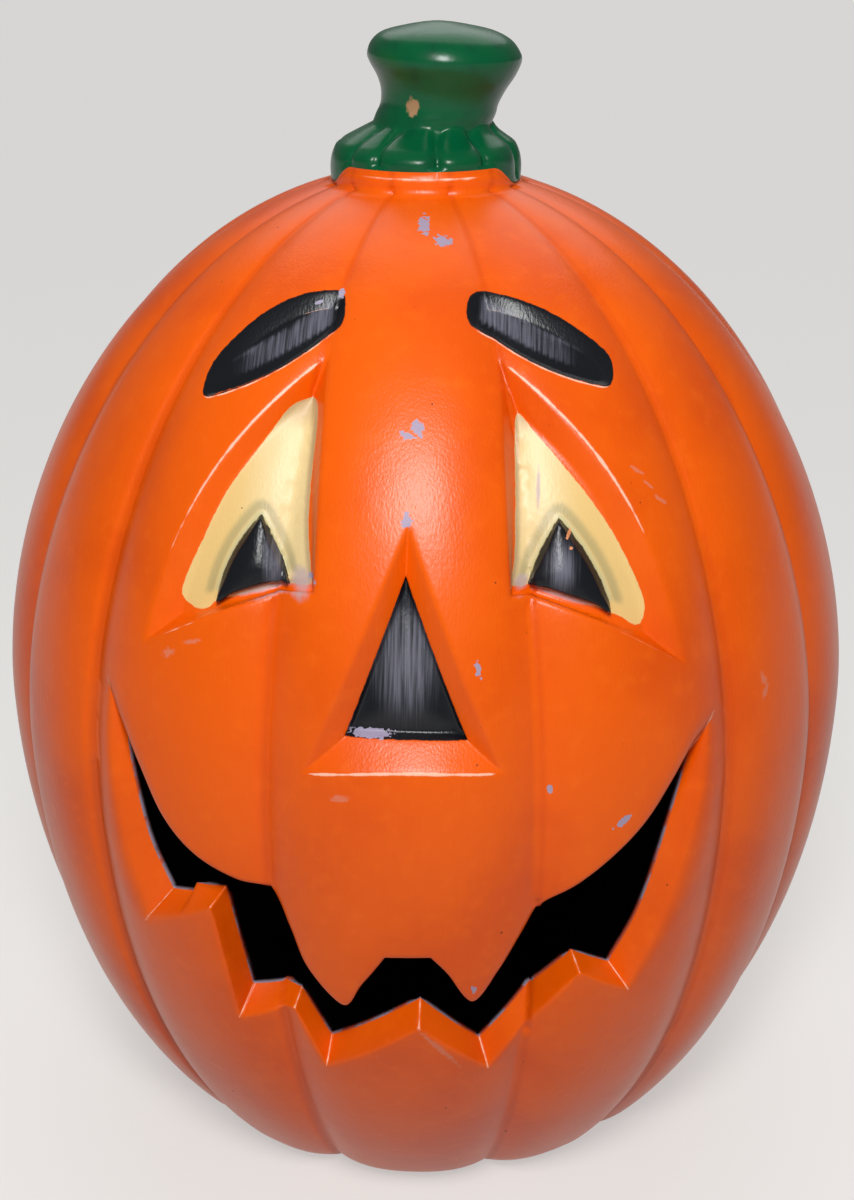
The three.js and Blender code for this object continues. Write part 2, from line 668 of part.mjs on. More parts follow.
place(lamp, 'bulb_contact', bulbContact(), zincSteel);
place(lamp, 'bulb_insulator', bulbInsulator(), rubber);
place(lamp, 'bulb_screw_base', bulbScrewBase(), aluminium);
place(lamp, 'bulb_glass', bulbGlass(), frostedGlass);
place(lamp, 'bulb_mount', bulbMount(), clearGlass);
place(lamp, 'lead_wire_left', leadWire(-1), zincSteel);
place(lamp, 'lead_wire_right', leadWire(1), zincSteel);
place(lamp, 'filament', filament(), tungsten);
place(lamp, 'support_wire', supportWire(), zincSteel);

export default pumpkinLight;
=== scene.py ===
"""A blow-moulded pumpkin light: a hollow painted shell with a smiling face, and the lamp in its back.

Metres and +Z up in the scene. The shell is worked out in millimetres, and the face looks along -Y.
"""

import json
import math

import bmesh
import bpy
import numpy as np
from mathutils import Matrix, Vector, geometry


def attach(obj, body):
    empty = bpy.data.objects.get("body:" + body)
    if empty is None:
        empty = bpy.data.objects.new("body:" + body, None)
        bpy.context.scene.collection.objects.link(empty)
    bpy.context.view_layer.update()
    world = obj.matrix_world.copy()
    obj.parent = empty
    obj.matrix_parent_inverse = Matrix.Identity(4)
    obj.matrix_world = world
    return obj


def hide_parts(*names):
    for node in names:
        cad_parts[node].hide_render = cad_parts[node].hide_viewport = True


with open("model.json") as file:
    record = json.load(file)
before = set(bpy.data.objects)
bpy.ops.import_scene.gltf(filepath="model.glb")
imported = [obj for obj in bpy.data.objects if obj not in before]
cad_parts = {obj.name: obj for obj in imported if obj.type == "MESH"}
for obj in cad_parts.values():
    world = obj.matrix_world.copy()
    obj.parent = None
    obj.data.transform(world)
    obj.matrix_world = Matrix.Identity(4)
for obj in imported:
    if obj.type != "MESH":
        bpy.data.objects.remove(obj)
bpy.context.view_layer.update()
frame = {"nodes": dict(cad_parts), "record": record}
MM = 0.001

# The photograph's viewpoint
CAMERA_PLACE = (0.0476, -0.9388, 0.683)
CAMERA_TURN = (67.5, 0.0, 2.9)
CAMERA_LENS = 52.9
CAMERA_SHIFT = 0.001

# Body of the shell, in millimetres
WALL = 3.0
BODY_RADIUS = 235.0
WAIST = 262.0
UPPER_REACH, UPPER_POWER = 278.0, 1.876
LOWER_REACH = 330.0
SHOULDER = 533.0
FOOT_EDGE = 14.0
STEM_FOOT, GREEN_START = 542.0, 544.0
RIB_EDGES = [-163, -138, -115, -90, -64.5, -44.5, -17, 17, 44.5, 64.5, 90, 115, 138, 163]
GROOVE_DEPTH, WIDEST_RIB = 13.0, 34.0
GROOVE_SOFTNESS = 0.9

# Stem: half width, lean and rise above its foot
STEM = [(49.6, 0, 0), (50, 0, 4), (49, 0, 7.5), (46, 0, 11), (41.6, 0.5, 14), (37.4, 1.5, 17), (33.4, 3.7, 21),
        (30.6, 6.5, 28), (32, 9, 36), (35.5, 10.6, 43.5), (39, 10.2, 50.5), (39.2, 9.2, 55), (35.6, 8, 61),
        (28, 6.5, 65.5), (15, 6, 68.5)]
STEM_LOBES = [-95, -50, -28, 10, 41, 78, 112, 150, 186, 226]
LOBE_DEPTH, LOBE_TOP = 5.5, 21.0

# Face: corner, bulge, corner, bulge and so on, as (x, z) in the front view
EYE_RIMS = [[(-38, 473), (-105, 432), (-124, 346), (-84, 373), (-41, 380), None],
            [(41, 472), (110, 432), (131, 339), (87, 374), (49, 378), None]]
EYE_FLOORS = [[(-46, 455), (-92, 424), (-105, 360), (-80, 370), (-42, 377), None],
              [(50, 450), (96, 418), (111, 354), (80, 370), (49, 376), None]]
PUPILS = [[(-67.5, 406.5), (-84, 391), (-88, 369), (-70, 377), (-54, 379), (-59.5, 394)],
          [(70, 407), (60, 392), (57, 380), (78, 374), (95, 367), (88, 390)]]
BROW_RIMS = [[(-31.5, 486), None, (-32.5, 498), (-66, 501), (-97, 464), None, (-100.5, 451), (-64, 463)],
             [(25, 488), None, (26, 498.5), (61, 499), (95, 469), None, (95, 458), (58, 468)]]
BROW_FLOORS = [[(-35.5, 485), None, (-36.5, 490), (-63, 489), (-91, 459), None, (-94, 453), (-62, 464.5)],
               [(29, 486), None, (30, 490.5), (58, 489.5), (88, 465), None, (90, 460), (57, 469.5)]]
NOSE_RIM = [(2, 411), None, (-46, 299), (0, 308), (47, 301), None]
NOSE_FLOOR = [(1, 387), None, (-26, 316), (2, 316), (30, 315), None]
MOUTH_RIM = [(-146, 320), (-137, 303), (-128, 285), (-117, 263), (-101, 247), (-80, 236), (-63, 230),
             (-54, 211), (-46, 190), (-29, 171), (-20.5, 185), (-14, 195), (-8, 204.5), (14, 205), (22, 194.5),
             (34, 175), (46, 192), (56, 210), (66, 226), (83, 238), (101, 253), (116, 268), (127, 284),
             (138, 301), (146, 309), (146, 274), (131, 215), (111, 167), (86, 185), (42, 124), (8, 159),
             (-40, 122), (-55, 158), (-84, 147), (-94, 218), (-109, 208.5), (-112, 207), (-131, 196),
             (-145, 236), (-150, 281)]
MOUTH_CUT = [(-138, 296), (-131, 285), (-124, 272), (-113, 256), (-99, 242), (-80, 231), (-66, 226),
             (-58, 209), (-50, 187), (-30, 165), (-18, 180), (-11.5, 190), (-6, 199.5), (12, 200), (20.5, 190),
             (34, 169), (50, 189), (60, 207), (69, 221), (84, 233), (99, 248), (112, 262), (122, 275),
             (131, 288), (136, 290), (127, 254), (115, 209), (101, 178), (82, 189), (37, 136), (8, 168),
             (-38, 134), (-52.5, 162.5), (-78, 160), (-88, 222), (-103.5, 220.5),
             (-105, 215), (-117, 212), (-128, 238), (-136, 276)]
# Numbers of the mouth's sharp corners, and of those whose creases get a pale line: painted highlight, partly
# wear
MOUTH_CORNERS = {0, 12, 13, 24, *range(27, 38)}
MOUTH_CREASES = MOUTH_CORNERS - {12, 13, 35, 36}

# Depths of the recesses, of the nose's sloping walls, and of the brows' floors at their lower and upper edges
EYE_DEPTH, NOSE_DEPTH, MOUTH_DEPTH = 10.0, 13.0, 15.0
NOSE_SLOPE = 9.0
BROW_DEPTH = (3.2, 9.0)
PUPIL_RISE, PUPIL_DRAFT = 5.0, 1.5

# How far the middles of the pupils and of the nose's floor stand up, and how far in from their edges
PUPIL_CROWN, NOSE_CROWN = (1.9, 9), (3.2, 16)

# The yellow paint in the eyes
EYE_PAINT = [[(-49.6, 453.7), (-43.3, 453.5), (-42.6, 443.9), (-44.4, 424.4), (-45.1, 404.9), (-43.6, 388.8),
              (-43, 380.3), (-52.5, 378), (-66, 374.5), (-86.5, 368.8), (-92.1, 364.6), (-99.3, 363.3),
              (-105.3, 367.6), (-104.3, 375), (-95.7, 393.7), (-84.3, 415.5), (-67.1, 437.5), (-56.2, 450.8)],
             [(50.2, 449.1), (58.7, 441.5), (73.3, 426.8), (87.6, 410.2), (99.8, 391.8), (110.4, 370),
              (110.4, 360.5), (107, 357.6), (98.5, 363.5), (79, 372), (59, 377.8), (49, 379.8), (50.1, 391),
              (50, 414.1), (49.1, 438.3)]]

# Where a sheen is painted on the black, in grey streaks: x, z, half width, half height
SHEEN_ON_BLACK = [(-61, 389, 5, 13), (72, 388, 7, 11), (2, 350, 15, 24)]

# The lamp's axis and its seat, and the well round it
LAMP_HEIGHT, LAMP_SEAT = 230.0, 212.0
WELL_RADIUS, WELL_DRAFT = 44.0, 3.0
LAMP_HOLE = 29.0

# Foot and top of the stem, closed inwards: share of the last ring, and rise above it
FOOT_RINGS = [(0.97, 0.1), (0.93, 0.8), (0.86, 2.6), (0.78, 3.6), (0.6, 4.0), (0.4, 4.2), (0.2, 4.3),
              (0.06, 4.3)]
STEM_TOP = [(0.6, 1.0), (0.25, 1.6)]

# Ledge of the shoulder: radius, and share of the way up to the line of the green paint
LEDGE = [(50.4, 0.3), (50.6, 0.55), (50.2, 0.7), (49.4, 0.78), (49.6, 1.0)]

# A recess's rounded rim: how far it reaches outwards and down the wall, and its largest share of the wall
LIP_OUT, LIP_DOWN, LIP_SHARE = 2.4, 2.2, 0.4

# Farthest distance that the paint looks for an outline
FAR = 30.0


def smooth(t):
    """A soft step from 0 to 1."""
    t = np.clip(t, 0, 1)
    return t * t * (3 - 2 * t)


def crest(z):
    """Radius of the ribs' crests at a height."""
    z = np.asarray(z, float)
    upper = z > WAIST
    share = np.abs(z - WAIST) / np.where(upper, UPPER_REACH, LOWER_REACH)
    radius = BODY_RADIUS * np.sqrt(np.maximum(0, 1 - share ** np.where(upper, UPPER_POWER, 2.0)))
    low = np.clip(1 - z / FOOT_EDGE, 0, 1)
    return radius - FOOT_EDGE * (1 - np.sqrt(1 - low ** 2))


def across(azimuth, edges):
    """Width of the rib that an azimuth lies in, and the place across it from -1 to 1."""
    edges = np.array(list(edges) + [edges[0] + 360.0])
    turn = (np.asarray(azimuth, float) - edges[0]) % 360 + edges[0]
    k = np.clip(np.searchsorted(edges, turn, side="right"), 1, len(edges) - 1)
    width = edges[k] - edges[k - 1]
    return width, (2 * turn - edges[k] - edges[k - 1]) / width


def rib_radius(azimuth, z):
    """Outer radius of the body: crests between soft-bottomed grooves."""
    width, share = across(azimuth, RIB_EDGES)
    radius = crest(z)
    half = np.radians(width / 2) * radius
    edge = np.hypot((1 - np.abs(share)) * half, GROOVE_SOFTNESS * np.minimum(1, half / 30))
    depth = GROOVE_DEPTH / BODY_RADIUS * (width / WIDEST_RIB) * np.clip(1 - edge / half, 0, 1) ** 3
    return radius * (1 - depth)


# The body's profile: height, radius, length along it and its normal
PROFILE_Z = np.concatenate([FOOT_EDGE * (1 - np.cos(np.linspace(0, math.pi / 2, 24))),
                            np.linspace(FOOT_EDGE, SHOULDER, 400)[1:]])
PROFILE_R = crest(PROFILE_Z)
PROFILE_S = np.concatenate([[0], np.cumsum(np.hypot(np.diff(PROFILE_Z), np.diff(PROFILE_R)))])
PROFILE_OUT = np.gradient(PROFILE_Z, PROFILE_S)
PROFILE_UP = -np.gradient(PROFILE_R, PROFILE_S)
GIRTH = math.radians(1) * BODY_RADIUS


def surface(azimuth, z, inset=0.0):
    """Points of the body's outer skin, or of a skin further in."""
    azimuth, z = np.broadcast_arrays(np.asarray(azimuth, float), np.asarray(z, float))
    radius = rib_radius(azimuth, z) - inset * np.interp(z, PROFILE_Z, PROFILE_OUT)
    a, height = np.radians(azimuth), z - inset * np.interp(z, PROFILE_Z, PROFILE_UP)
    return np.stack([radius * np.sin(a), -radius * np.cos(a), height], -1)


def azimuth_at(loop, back=False):
    """Azimuth where lines along Y through the points (x, z) meet the body's front, or its back."""
    azimuth = np.full(len(loop), 180.0 if back else 0.0)
    for _ in range(20):
        turn = np.degrees(np.arcsin(np.clip(loop[:, 0] / rib_radius(azimuth, loop[:, 1]), -1, 1)))
        azimuth = 180 - turn if back else turn
    return azimuth


def front(loop, depth=0.0, inset=0.0, back=False):
    """Points of an outline in the front view, pushed into the body by a depth."""
    points = surface(azimuth_at(loop, back), loop[:, 1], inset)
    points[:, 1] += np.asarray(depth) * (-1 if back else 1)
    return points


def trace(corners, like, spacing=1.9):
    """Points round an outline, as many as suit the outline `like`, so that the two match point by point."""
    points, count = [], len(corners)
    for k in range(0, count, 2):
        a, bulge, b = corners[k], corners[k + 1], corners[(k + 2) % count]
        steps = max(3, round(np.linalg.norm(np.subtract(like[(k + 2) % count], like[k])) / spacing))
        t = np.linspace(0, 1, steps, endpoint=False)[:, None]
        bulge = np.add(a, b) / 2 if bulge is None else np.array(bulge, float)
        points.append(np.array(a) * (1 - t) ** 2 + 2 * bulge * t * (1 - t) + np.array(b) * t ** 2)
    return np.concatenate(points)


def through(a, b, c, d, t):
    """The curve from b to c that passes smoothly through a before and d after."""
    return 0.5 * (2 * b + (c - a) * t + (2 * a - 5 * b + 4 * c - d) * t ** 2
                  + (3 * b - a - 3 * c + d) * t ** 3)


def smooth_trace(points, like, corners=(), spacing=2.0):
    """Points through a polygon's corners: sharp at the listed ones and curved through the others."""
    points, like = np.array(points, float), np.array(like, float)
    out, count = [], len(points)
    for k in range(count):
        a, b, c, d = (points[(k + i) % count] for i in (-1, 0, 1, 2))
        if k in corners:
            a = 2 * b - c
        if (k + 1) % count in corners:
            d = 2 * c - b
        steps = max(2, round(np.linalg.norm(like[(k + 1) % count] - like[k]) / spacing))
        out.append(through(a, b, c, d, np.linspace(0, 1, steps, endpoint=False)[:, None]))
    return np.concatenate(out)


def spline(rows, steps):
    """Smooth rows through the given ones."""
    rows = np.array(rows, float)
    rows = np.concatenate([rows[:1], rows, rows[-1:]])
    t = np.linspace(0, 1, steps, endpoint=False)[:, None]
    return np.concatenate([*(through(*rows[k:k + 4], t) for k in range(len(rows) - 3)), rows[-1:]])


def unit(vectors):
    """Vectors of length 1."""
    return vectors / np.linalg.norm(vectors, axis=1)[:, None]


def blunted(loop, push):
    """A counter-clockwise outline of an opening, moved into the material at the material's sharp tips."""
    along = unit(np.roll(loop, -1, 0) - loop)
    before = np.roll(along, 1, 0)
    tips = np.clip(before[:, 1] * along[:, 0] - before[:, 0] * along[:, 1], 0, 1)
    return loop + unit(outward(loop, 5)) * (push * np.clip(4 * blurred(tips, 3), 0, 1))[:, None]


def area(loop):
    """Area inside an outline, positive where it runs counter-clockwise."""
    x, z = loop.T
    return 0.5 * np.sum(x * np.roll(z, -1) - z * np.roll(x, -1))


def both_ways(first, second):
    """Two matching outlines, turned counter-clockwise."""
    return (first, second) if area(first) > 0 else (first[::-1], second[::-1])


def distance(points, loop):
    """Signed distance of points to a closed outline, negative inside it."""
    best = np.full(len(points), 1e9)
    inside = np.zeros(len(points), bool)
    for (ax, az), (bx, bz) in zip(loop, np.roll(loop, -1, 0)):
        px, pz = points[:, 0] - ax, points[:, 1] - az
        dx, dz = bx - ax, bz - az
        t = np.clip((px * dx + pz * dz) / max(dx * dx + dz * dz, 1e-9), 0, 1)
        best = np.minimum(best, np.hypot(px - t * dx, pz - t * dz))
        if az != bz:
            inside ^= ((az > points[:, 1]) != (bz > points[:, 1])) & (px < dx * pz / dz)
    return np.where(inside, -best, best)


def blurred(values, reach):
    """Values round a closed outline, averaged over some neighbours on each side."""
    kernel = np.hanning(2 * reach + 3)[1:-1]
    padded = np.concatenate([values[-reach:], values, values[:reach]])
    return np.convolve(padded, kernel / kernel.sum(), "valid")


def softened(loop, reach=5):
    """Points of a closed outline, averaged over some neighbours on each side."""
    return np.stack([blurred(way, reach) for way in loop.T], -1)


def outward(loop, reach=3):
    """Outward normals of a counter-clockwise outline, averaged so that narrow tips don't fold."""
    x, z = unit(np.roll(loop, -1, 0) - np.roll(loop, 1, 0)).T
    return softened(np.stack([z, -x], -1), reach)


def offset(loop, width):
    """The outline moved outward (or inward, for a negative width), less where it would run into itself."""
    normal = outward(loop) * math.copysign(1, np.mean(width))
    width = np.broadcast_to(np.abs(np.asarray(width, float)), len(loop))
    length = np.linalg.norm(normal, axis=1)
    room = np.zeros(len(loop))
    open_still = np.ones(len(loop), bool)
    for share in np.linspace(0.15, 1, 8):
        reach = np.abs(distance(loop + normal * (share * width)[:, None], loop))
        open_still &= reach > 0.8 * share * width * length
        room[open_still] = share
    least = np.min([np.roll(room, k) for k in range(-3, 4)], axis=0)
    return loop + normal * (width * blurred(np.maximum(least, 0.12), 3))[:, None]


def between(points, loops, gap=0.0):
    """Which points lie inside the first outline and outside the others, by a gap."""
    holes = [distance(points, hole) > gap for hole in loops[1:]]
    return np.all([distance(points, loops[0]) < -gap, *holes], axis=0)


def swell(points, loop, reach):
    """0 at an outline, rising softly to 1 at a distance inside it."""
    return np.sin(np.clip(-distance(points, loop) / reach, 0, 1) * math.pi / 2)


class Skin:
    """Points and faces of a piece, in millimetres."""

    def __init__(self):
        self.points, self.faces, self.kinds, self.ridges = [], [], [], []
        self.count = 0

    def add(self, points, ridge=0.0):
        self.points.append(np.asarray(points, float).reshape(-1, 3))
        self.ridges.append(np.broadcast_to(ridge, len(self.points[-1])))
        first, self.count = self.count, self.count + len(self.points[-1])
        return np.arange(first, self.count)

    def face(self, faces, kind):
        self.faces += [tuple(int(v) for v in f) for f in faces]
        self.kinds += [kind] * len(faces)

    def strip(self, first, second, kind=0):
        """Four-sided faces between two rings of as many points, counter-clockwise from outside the hole."""
        n = len(first)
        self.face([(first[k], first[(k + 1) % n], second[(k + 1) % n], second[k]) for k in range(n)], kind)

    def strips(self, ring, rings, kind, ridges=()):
        """Strips from a ring of point numbers over rings of places. Returns the last ring's numbers."""
        for k, places in enumerate(rings):
            following = self.add(places, ridges[k] if k < len(ridges) else 0.0)
            self.strip(ring, following, kind)
            ring = following
        return ring

    def zipped(self, first, second, first_turn, second_turn, kind):
        """Triangles between two rings of different counts, matched by the turns of their points."""
        n, m, i, j = len(first), len(second), 0, 0
        turns_a = np.append(first_turn, first_turn[0] + 360)
        turns_b = np.append(second_turn, second_turn[0] + 360)
        while i < n or j < m:
            if j == m or (i < n and turns_a[i + 1] <= turns_b[j + 1]):
                self.face([(first[i], first[(i + 1) % n], second[j % m])], kind)
                i += 1
            else:
                self.face([(first[i % n], second[(j + 1) % m], second[j])], kind)
                j += 1

    def fan(self, ring, middle, kind=0):
        """Triangles from a ring to the number of a point in its middle."""
        self.face([(ring[k], ring[(k + 1) % len(ring)], middle) for k in range(len(ring))], kind)

    def tube(self, rings, kind=0):
        """Strips over rings of point numbers, and a face on each end."""
        for first, second in zip(rings, rings[1:]):
            self.strip(first, second, kind)
        self.face([tuple(rings[0][::-1]), tuple(rings[-1])], kind)


def bent(start, corner, end, steps=3):
    """Rings that round a corner off, after the start and up to the end."""
    t = np.linspace(0, 1, steps + 1)[1:, None, None]
    return list(start * (1 - t) ** 2 + 2 * corner * t * (1 - t) + end * t ** 2)


def triangulated(loops, inner, edges=()):
    """Even triangles that keep the loops' edges: places, which given point each is, and faces."""
    kept, first = list(edges), 0
    for loop in loops:
        kept += [(first + k, first + (k + 1) % len(loop)) for k in range(len(loop))]
        first += len(loop)
    given = [Vector(point) for point in np.concatenate([*loops, inner])]
    made = geometry.delaunay_2d_cdt(given, kept, [], 0, 1e-7)
    places = np.array([tuple(v) for v in made[0]])
    source = [s[0] if s else -1 for s in made[3]]
    return places, source, np.array([tuple(f) for f in made[2]])


ORANGE, GREEN, EDGE, INSIDE = range(4)


class Side:
    """One side of the shell's wall: its outer skin, or a coarser inner one a wall's thickness further in."""

    def __init__(self, skin, inner):
        self.skin, self.inner, self.holes = skin, inner, []
        self.inset, self.kind = (WALL, INSIDE) if inner else (0.0, ORANGE)

        # Shares of the way down a recess's wall, spacing on its floor, and spacing across front and back ribs
        self.shares = [0.33, 0.66] if inner else [0.12, 0.3, 0.5, 0.7, 0.88, 1]
        self.fine = 9.0 if inner else 4.0
        self.spacing = (10.0, 14.0) if inner else (5.0, 8.0)

        # Rows of the body, as lengths along its profile from the foot, and the grid's distance from a hole
        lowest = [0, 6, 14, 24] if inner else [0, 1.5, 3.2, 5, 7, 9.5, 12.5, 16, 20, 25]
        rest = PROFILE_S[-1] - lowest[-1]
        count = round(rest / (11.0 if inner else 5.8)) + 1
        self.rows = lowest[:-1] + list(np.linspace(lowest[-1], PROFILE_S[-1], count))
        self.margin = 2.5 if inner else 1.5

    def at(self, loop, depth=0.0, back=False):
        """Points of an outline on this side, pushed in by a depth."""
        return front(loop, depth, self.inset, back)

    def strips(self, ring, rings, ridges=()):
        return self.skin.strips(ring, rings, self.kind, ridges)

    def hole(self, loop, back=False):
        """Starts an opening in the body. Returns its ring's numbers."""
        self.holes.append((self.skin.add(self.at(loop, 0.0, back)), loop, back))
        return self.holes[-1][0]

    def walls(self, rim, floor, depth, lip, toe):
        """Rings over a recess's rounded rim and down its drafted wall, its outermost outline and its foot."""
        def wall(t):
            t = np.broadcast_to(t, len(rim))
            return self.at(rim + (floor - rim) * t[:, None], depth * t)

        outer = offset(rim, LIP_OUT * lip)
        slope = np.sqrt(np.sum((floor - rim) ** 2, 1) + depth ** 2)
        start, end = (np.minimum(LIP_SHARE, length / slope) for length in (LIP_DOWN * lip, toe))
        rings = bent(self.at(outer), wall(0), wall(start), 4)
        rings += [wall(start + (1 - end - start) * t) for t in self.shares]
        return outer, rings, wall(1)

    def recess(self, rim, floor, depth, wear_and_highlight, lip=1.0, toe=2.0, foot_line=0.0):
        """A recess from the body down to its floor: last ring's numbers and places, foot, floor's outline."""
        rim, floor = both_ways(rim, floor)
        depth = depth(floor)
        if self.inner:
            rim, floor = offset(rim, 1.0), offset(floor, 0.8)
        outer, rings, foot = self.walls(rim, floor, depth, lip, toe)
        # The rings' pale paint: painted highlight and wear on the rim, painted highlight along the foot
        ridges = lip_ridges(wear_and_highlight(rim), 0.0, len(rings) - 4) + [foot_line * facing(rim, 0, 1)]
        return self.strips(self.hole(outer), rings, ridges), rings[-1], foot, floor

    def fill(self, rings, loops, depth, spacing):
        """Fills the first ring, clear of the others. The loops are the rings' outlines in the front view."""
        low, high = loops[0].min(0), loops[0].max(0)
        x, z = np.meshgrid(np.arange(low[0], high[0], spacing), np.arange(low[1], high[1], spacing * 0.87))
        x[1::2] += spacing / 2
        inner = np.stack([x.ravel(), z.ravel()], -1)
        inner = inner[between(inner, loops, 0.45 * spacing)]
        places, source, faces = triangulated(loops, inner)
        numbers = np.concatenate([*rings, self.skin.add(self.at(inner, depth(inner)))])[source]
        self.skin.face(numbers[faces[between(places[faces].mean(1), loops)]], self.kind)

    def close(self, ring, base, axis, steps, last=0.0):
        """Closes a ring by smaller ones, each a share of it at a rise, and by a point in the middle."""
        axis = np.array([axis, 0, 0])
        rings = [axis + (base - axis) * (share, share, 1) + (0, 0, rise) for share, rise in steps]
        ring = self.strips(ring, rings)
        self.skin.fan(ring, self.skin.add(axis + (0, 0, rings[-1][0, 2] + last))[0], self.kind)


def lip_ridges(weight, crease=0.0, rings=0):
    """How pale each ring of a recess is painted, a painted highlight and partly wear: most in the middle of
    its rounded rim, then along its creases.
    """
    return [np.maximum(share * weight, crease) for share in (0.45, 1.0, 0.45)] + [crease] * rings


def facing(loop, x, z):
    """1 where an outline's outward normal points along (x, z), falling to 0."""
    return np.clip(blurred(outward(loop, 1) @ (x, z), 4) * 1.6 - 0.6, 0, 1)


def level(depth):
    """Depth of a level floor, as a function of its points."""
    return lambda points: np.full(len(points), depth)


def eye(side, hand):
    """An eye's recess, with a raised and softly crowned pupil on its level floor."""
    # Pale paint on the upper outer rim and the outer lower corner: painted highlight, partly wear
    def wear_and_highlight(rim):
        high = 0.35 + 0.65 * np.clip((rim[:, 1] - 350) / 70, 0, 1)
        upper = facing(rim, 0.62 * (-1, 1)[hand], 0.78) * high
        corner = facing(rim, 0, -1) * np.clip((np.abs(rim[:, 0]) - 92) / 8, 0, 1)
        return upper + 0.8 * corner

    rim, floor = (trace(loops[hand], EYE_RIMS[hand]) for loops in (EYE_RIMS, EYE_FLOORS))
    ring, last, foot, floor = side.recess(rim, floor, level(EYE_DEPTH), wear_and_highlight)
    inside = offset(floor, -2.0)
    ring = side.strips(ring, bent(last, foot, side.at(inside, EYE_DEPTH), 2))

    pupil = trace(PUPILS[hand], PUPILS[hand])
    pupil, _ = both_ways(pupil, pupil)
    if side.inner:
        pupil = offset(pupil, -2.0)
    base, top = offset(pupil, 0.8), offset(pupil, -PUPIL_DRAFT)
    crown = offset(top, -2.0)
    height = EYE_DEPTH - PUPIL_RISE
    edge = height - 0.3
    base_places = side.at(base, EYE_DEPTH)
    base_ring = side.skin.add(base_places)
    rings = bent(base_places, side.at(pupil, EYE_DEPTH), side.at(pupil, EYE_DEPTH - 1), 2)
    rings += [side.at(top, height + 0.9)]
    rings += bent(rings[-1], side.at(top, height), side.at(crown, edge), 3)
    crown_ring = side.strips(base_ring, rings)

    def crowned(points):
        return edge - PUPIL_CROWN[0] * swell(points, crown, PUPIL_CROWN[1])

    side.fill([crown_ring], [crown], crowned, side.fine * 0.8)
    side.fill([ring, base_ring], [inside, base], level(EYE_DEPTH), side.fine)


def brow_outline(loops, hand):
    """The rim or the floor of a brow, with soft corners."""
    return softened(trace(loops[hand], BROW_RIMS[hand], 1.5))


def above_brow(points, hand):
    """Place along a brow, from 0 at its outer end to 1, and height above its lower edge."""
    (ax, az), (bx, bz) = BROW_RIMS[hand][6], BROW_RIMS[hand][0]
    along = (points[:, 0] - ax) / (bx - ax)
    return along, points[:, 1] - (az + along * (bz - az))


def brow(side, hand):
    """A brow's recess, deep under its upper wall and nearly flush at its lower edge."""
    def depth(points):
        return BROW_DEPTH[0] + (BROW_DEPTH[1] - BROW_DEPTH[0]) * smooth(above_brow(points, hand)[1] / 22)

    # Pale paint on the lower lip: painted highlight, partly wear
    def wear_and_highlight(rim):
        return facing(rim, 0, -1)

    rim, floor = (brow_outline(loops, hand) for loops in (BROW_RIMS, BROW_FLOORS))
    # The 0.62 paints a pale line along the foot of the upper wall: a painted highlight
    ring, last, foot, floor = side.recess(rim, floor, depth, wear_and_highlight, 0.7, 1.0, 0.62)
    inside = offset(floor, -0.7)
    ring = side.strips(ring, bent(last, foot, side.at(inside, depth(inside)), 2))
    side.fill([ring], [inside], depth, side.fine * (0.7 if side.inner else 0.45))


def nose(side):
    """The nose's sloping walls, a short step at their foot, and a softly domed floor."""
    # Pale paint, mostly on the bottom rim: painted highlight, partly wear
    def wear_and_highlight(rim):
        return 0.9 * facing(rim, 0, -1) + 0.1

    rim, floor = (trace(loop, NOSE_RIM) for loop in (NOSE_RIM, NOSE_FLOOR))
    ring, last, foot, floor = side.recess(rim, floor, level(NOSE_SLOPE), wear_and_highlight, 1.0, 1.0)
    step = offset(floor, -1.4)
    inside = offset(step, -1.6)
    rings = bent(last, foot, side.at(floor + (step - floor) * 0.4, NOSE_SLOPE + 1), 2)
    rings += [side.at(step, NOSE_DEPTH - 1)]
    rings += bent(rings[-1], side.at(step, NOSE_DEPTH), side.at(inside, NOSE_DEPTH), 2)

    def domed(points):
        return NOSE_DEPTH - NOSE_CROWN[0] * swell(points, inside, NOSE_CROWN[1])

    side.fill([side.strips(ring, rings)], [inside], domed, side.fine * 0.9)


def mouth(side):
    """The mouth's walls down to its cut. Its rim is wide and soft towards both ends of the smile."""
    rim, cut = both_ways(*(smooth_trace(loop, MOUTH_RIM, MOUTH_CORNERS) for loop in (MOUTH_RIM, MOUTH_CUT)))
    lip = blurred(1 + 1.9 * np.clip((np.abs(rim[:, 0]) - 108) / 30, 0, 1), 6)
    crease = np.zeros(len(rim))
    if side.inner:
        rim = softened(blunted(offset(rim, 2.5), 2.5))
        cut, lip = blunted(cut, 1.8), np.full(len(rim), 0.4)
    else:
        # Pale lines on the lower rim, at the smile's ends and on the creases: painted highlight, partly wear
        marks = np.array(MOUTH_RIM)[sorted(MOUTH_CREASES)]
        crease[[np.argmin(np.linalg.norm(rim - mark, axis=1)) for mark in marks]] = 0.75
    outer, rings, foot = side.walls(rim, cut, np.full(len(rim), MOUTH_DEPTH), lip, 0.6)
    lower = 0.4 * facing(rim, 0, -1) + 0.35 * np.clip((np.abs(rim[:, 0]) - 120) / 15, 0, 1)
    return side.strips(side.hole(outer), [*rings, foot], lip_ridges(lower, crease, len(rings) - 3))


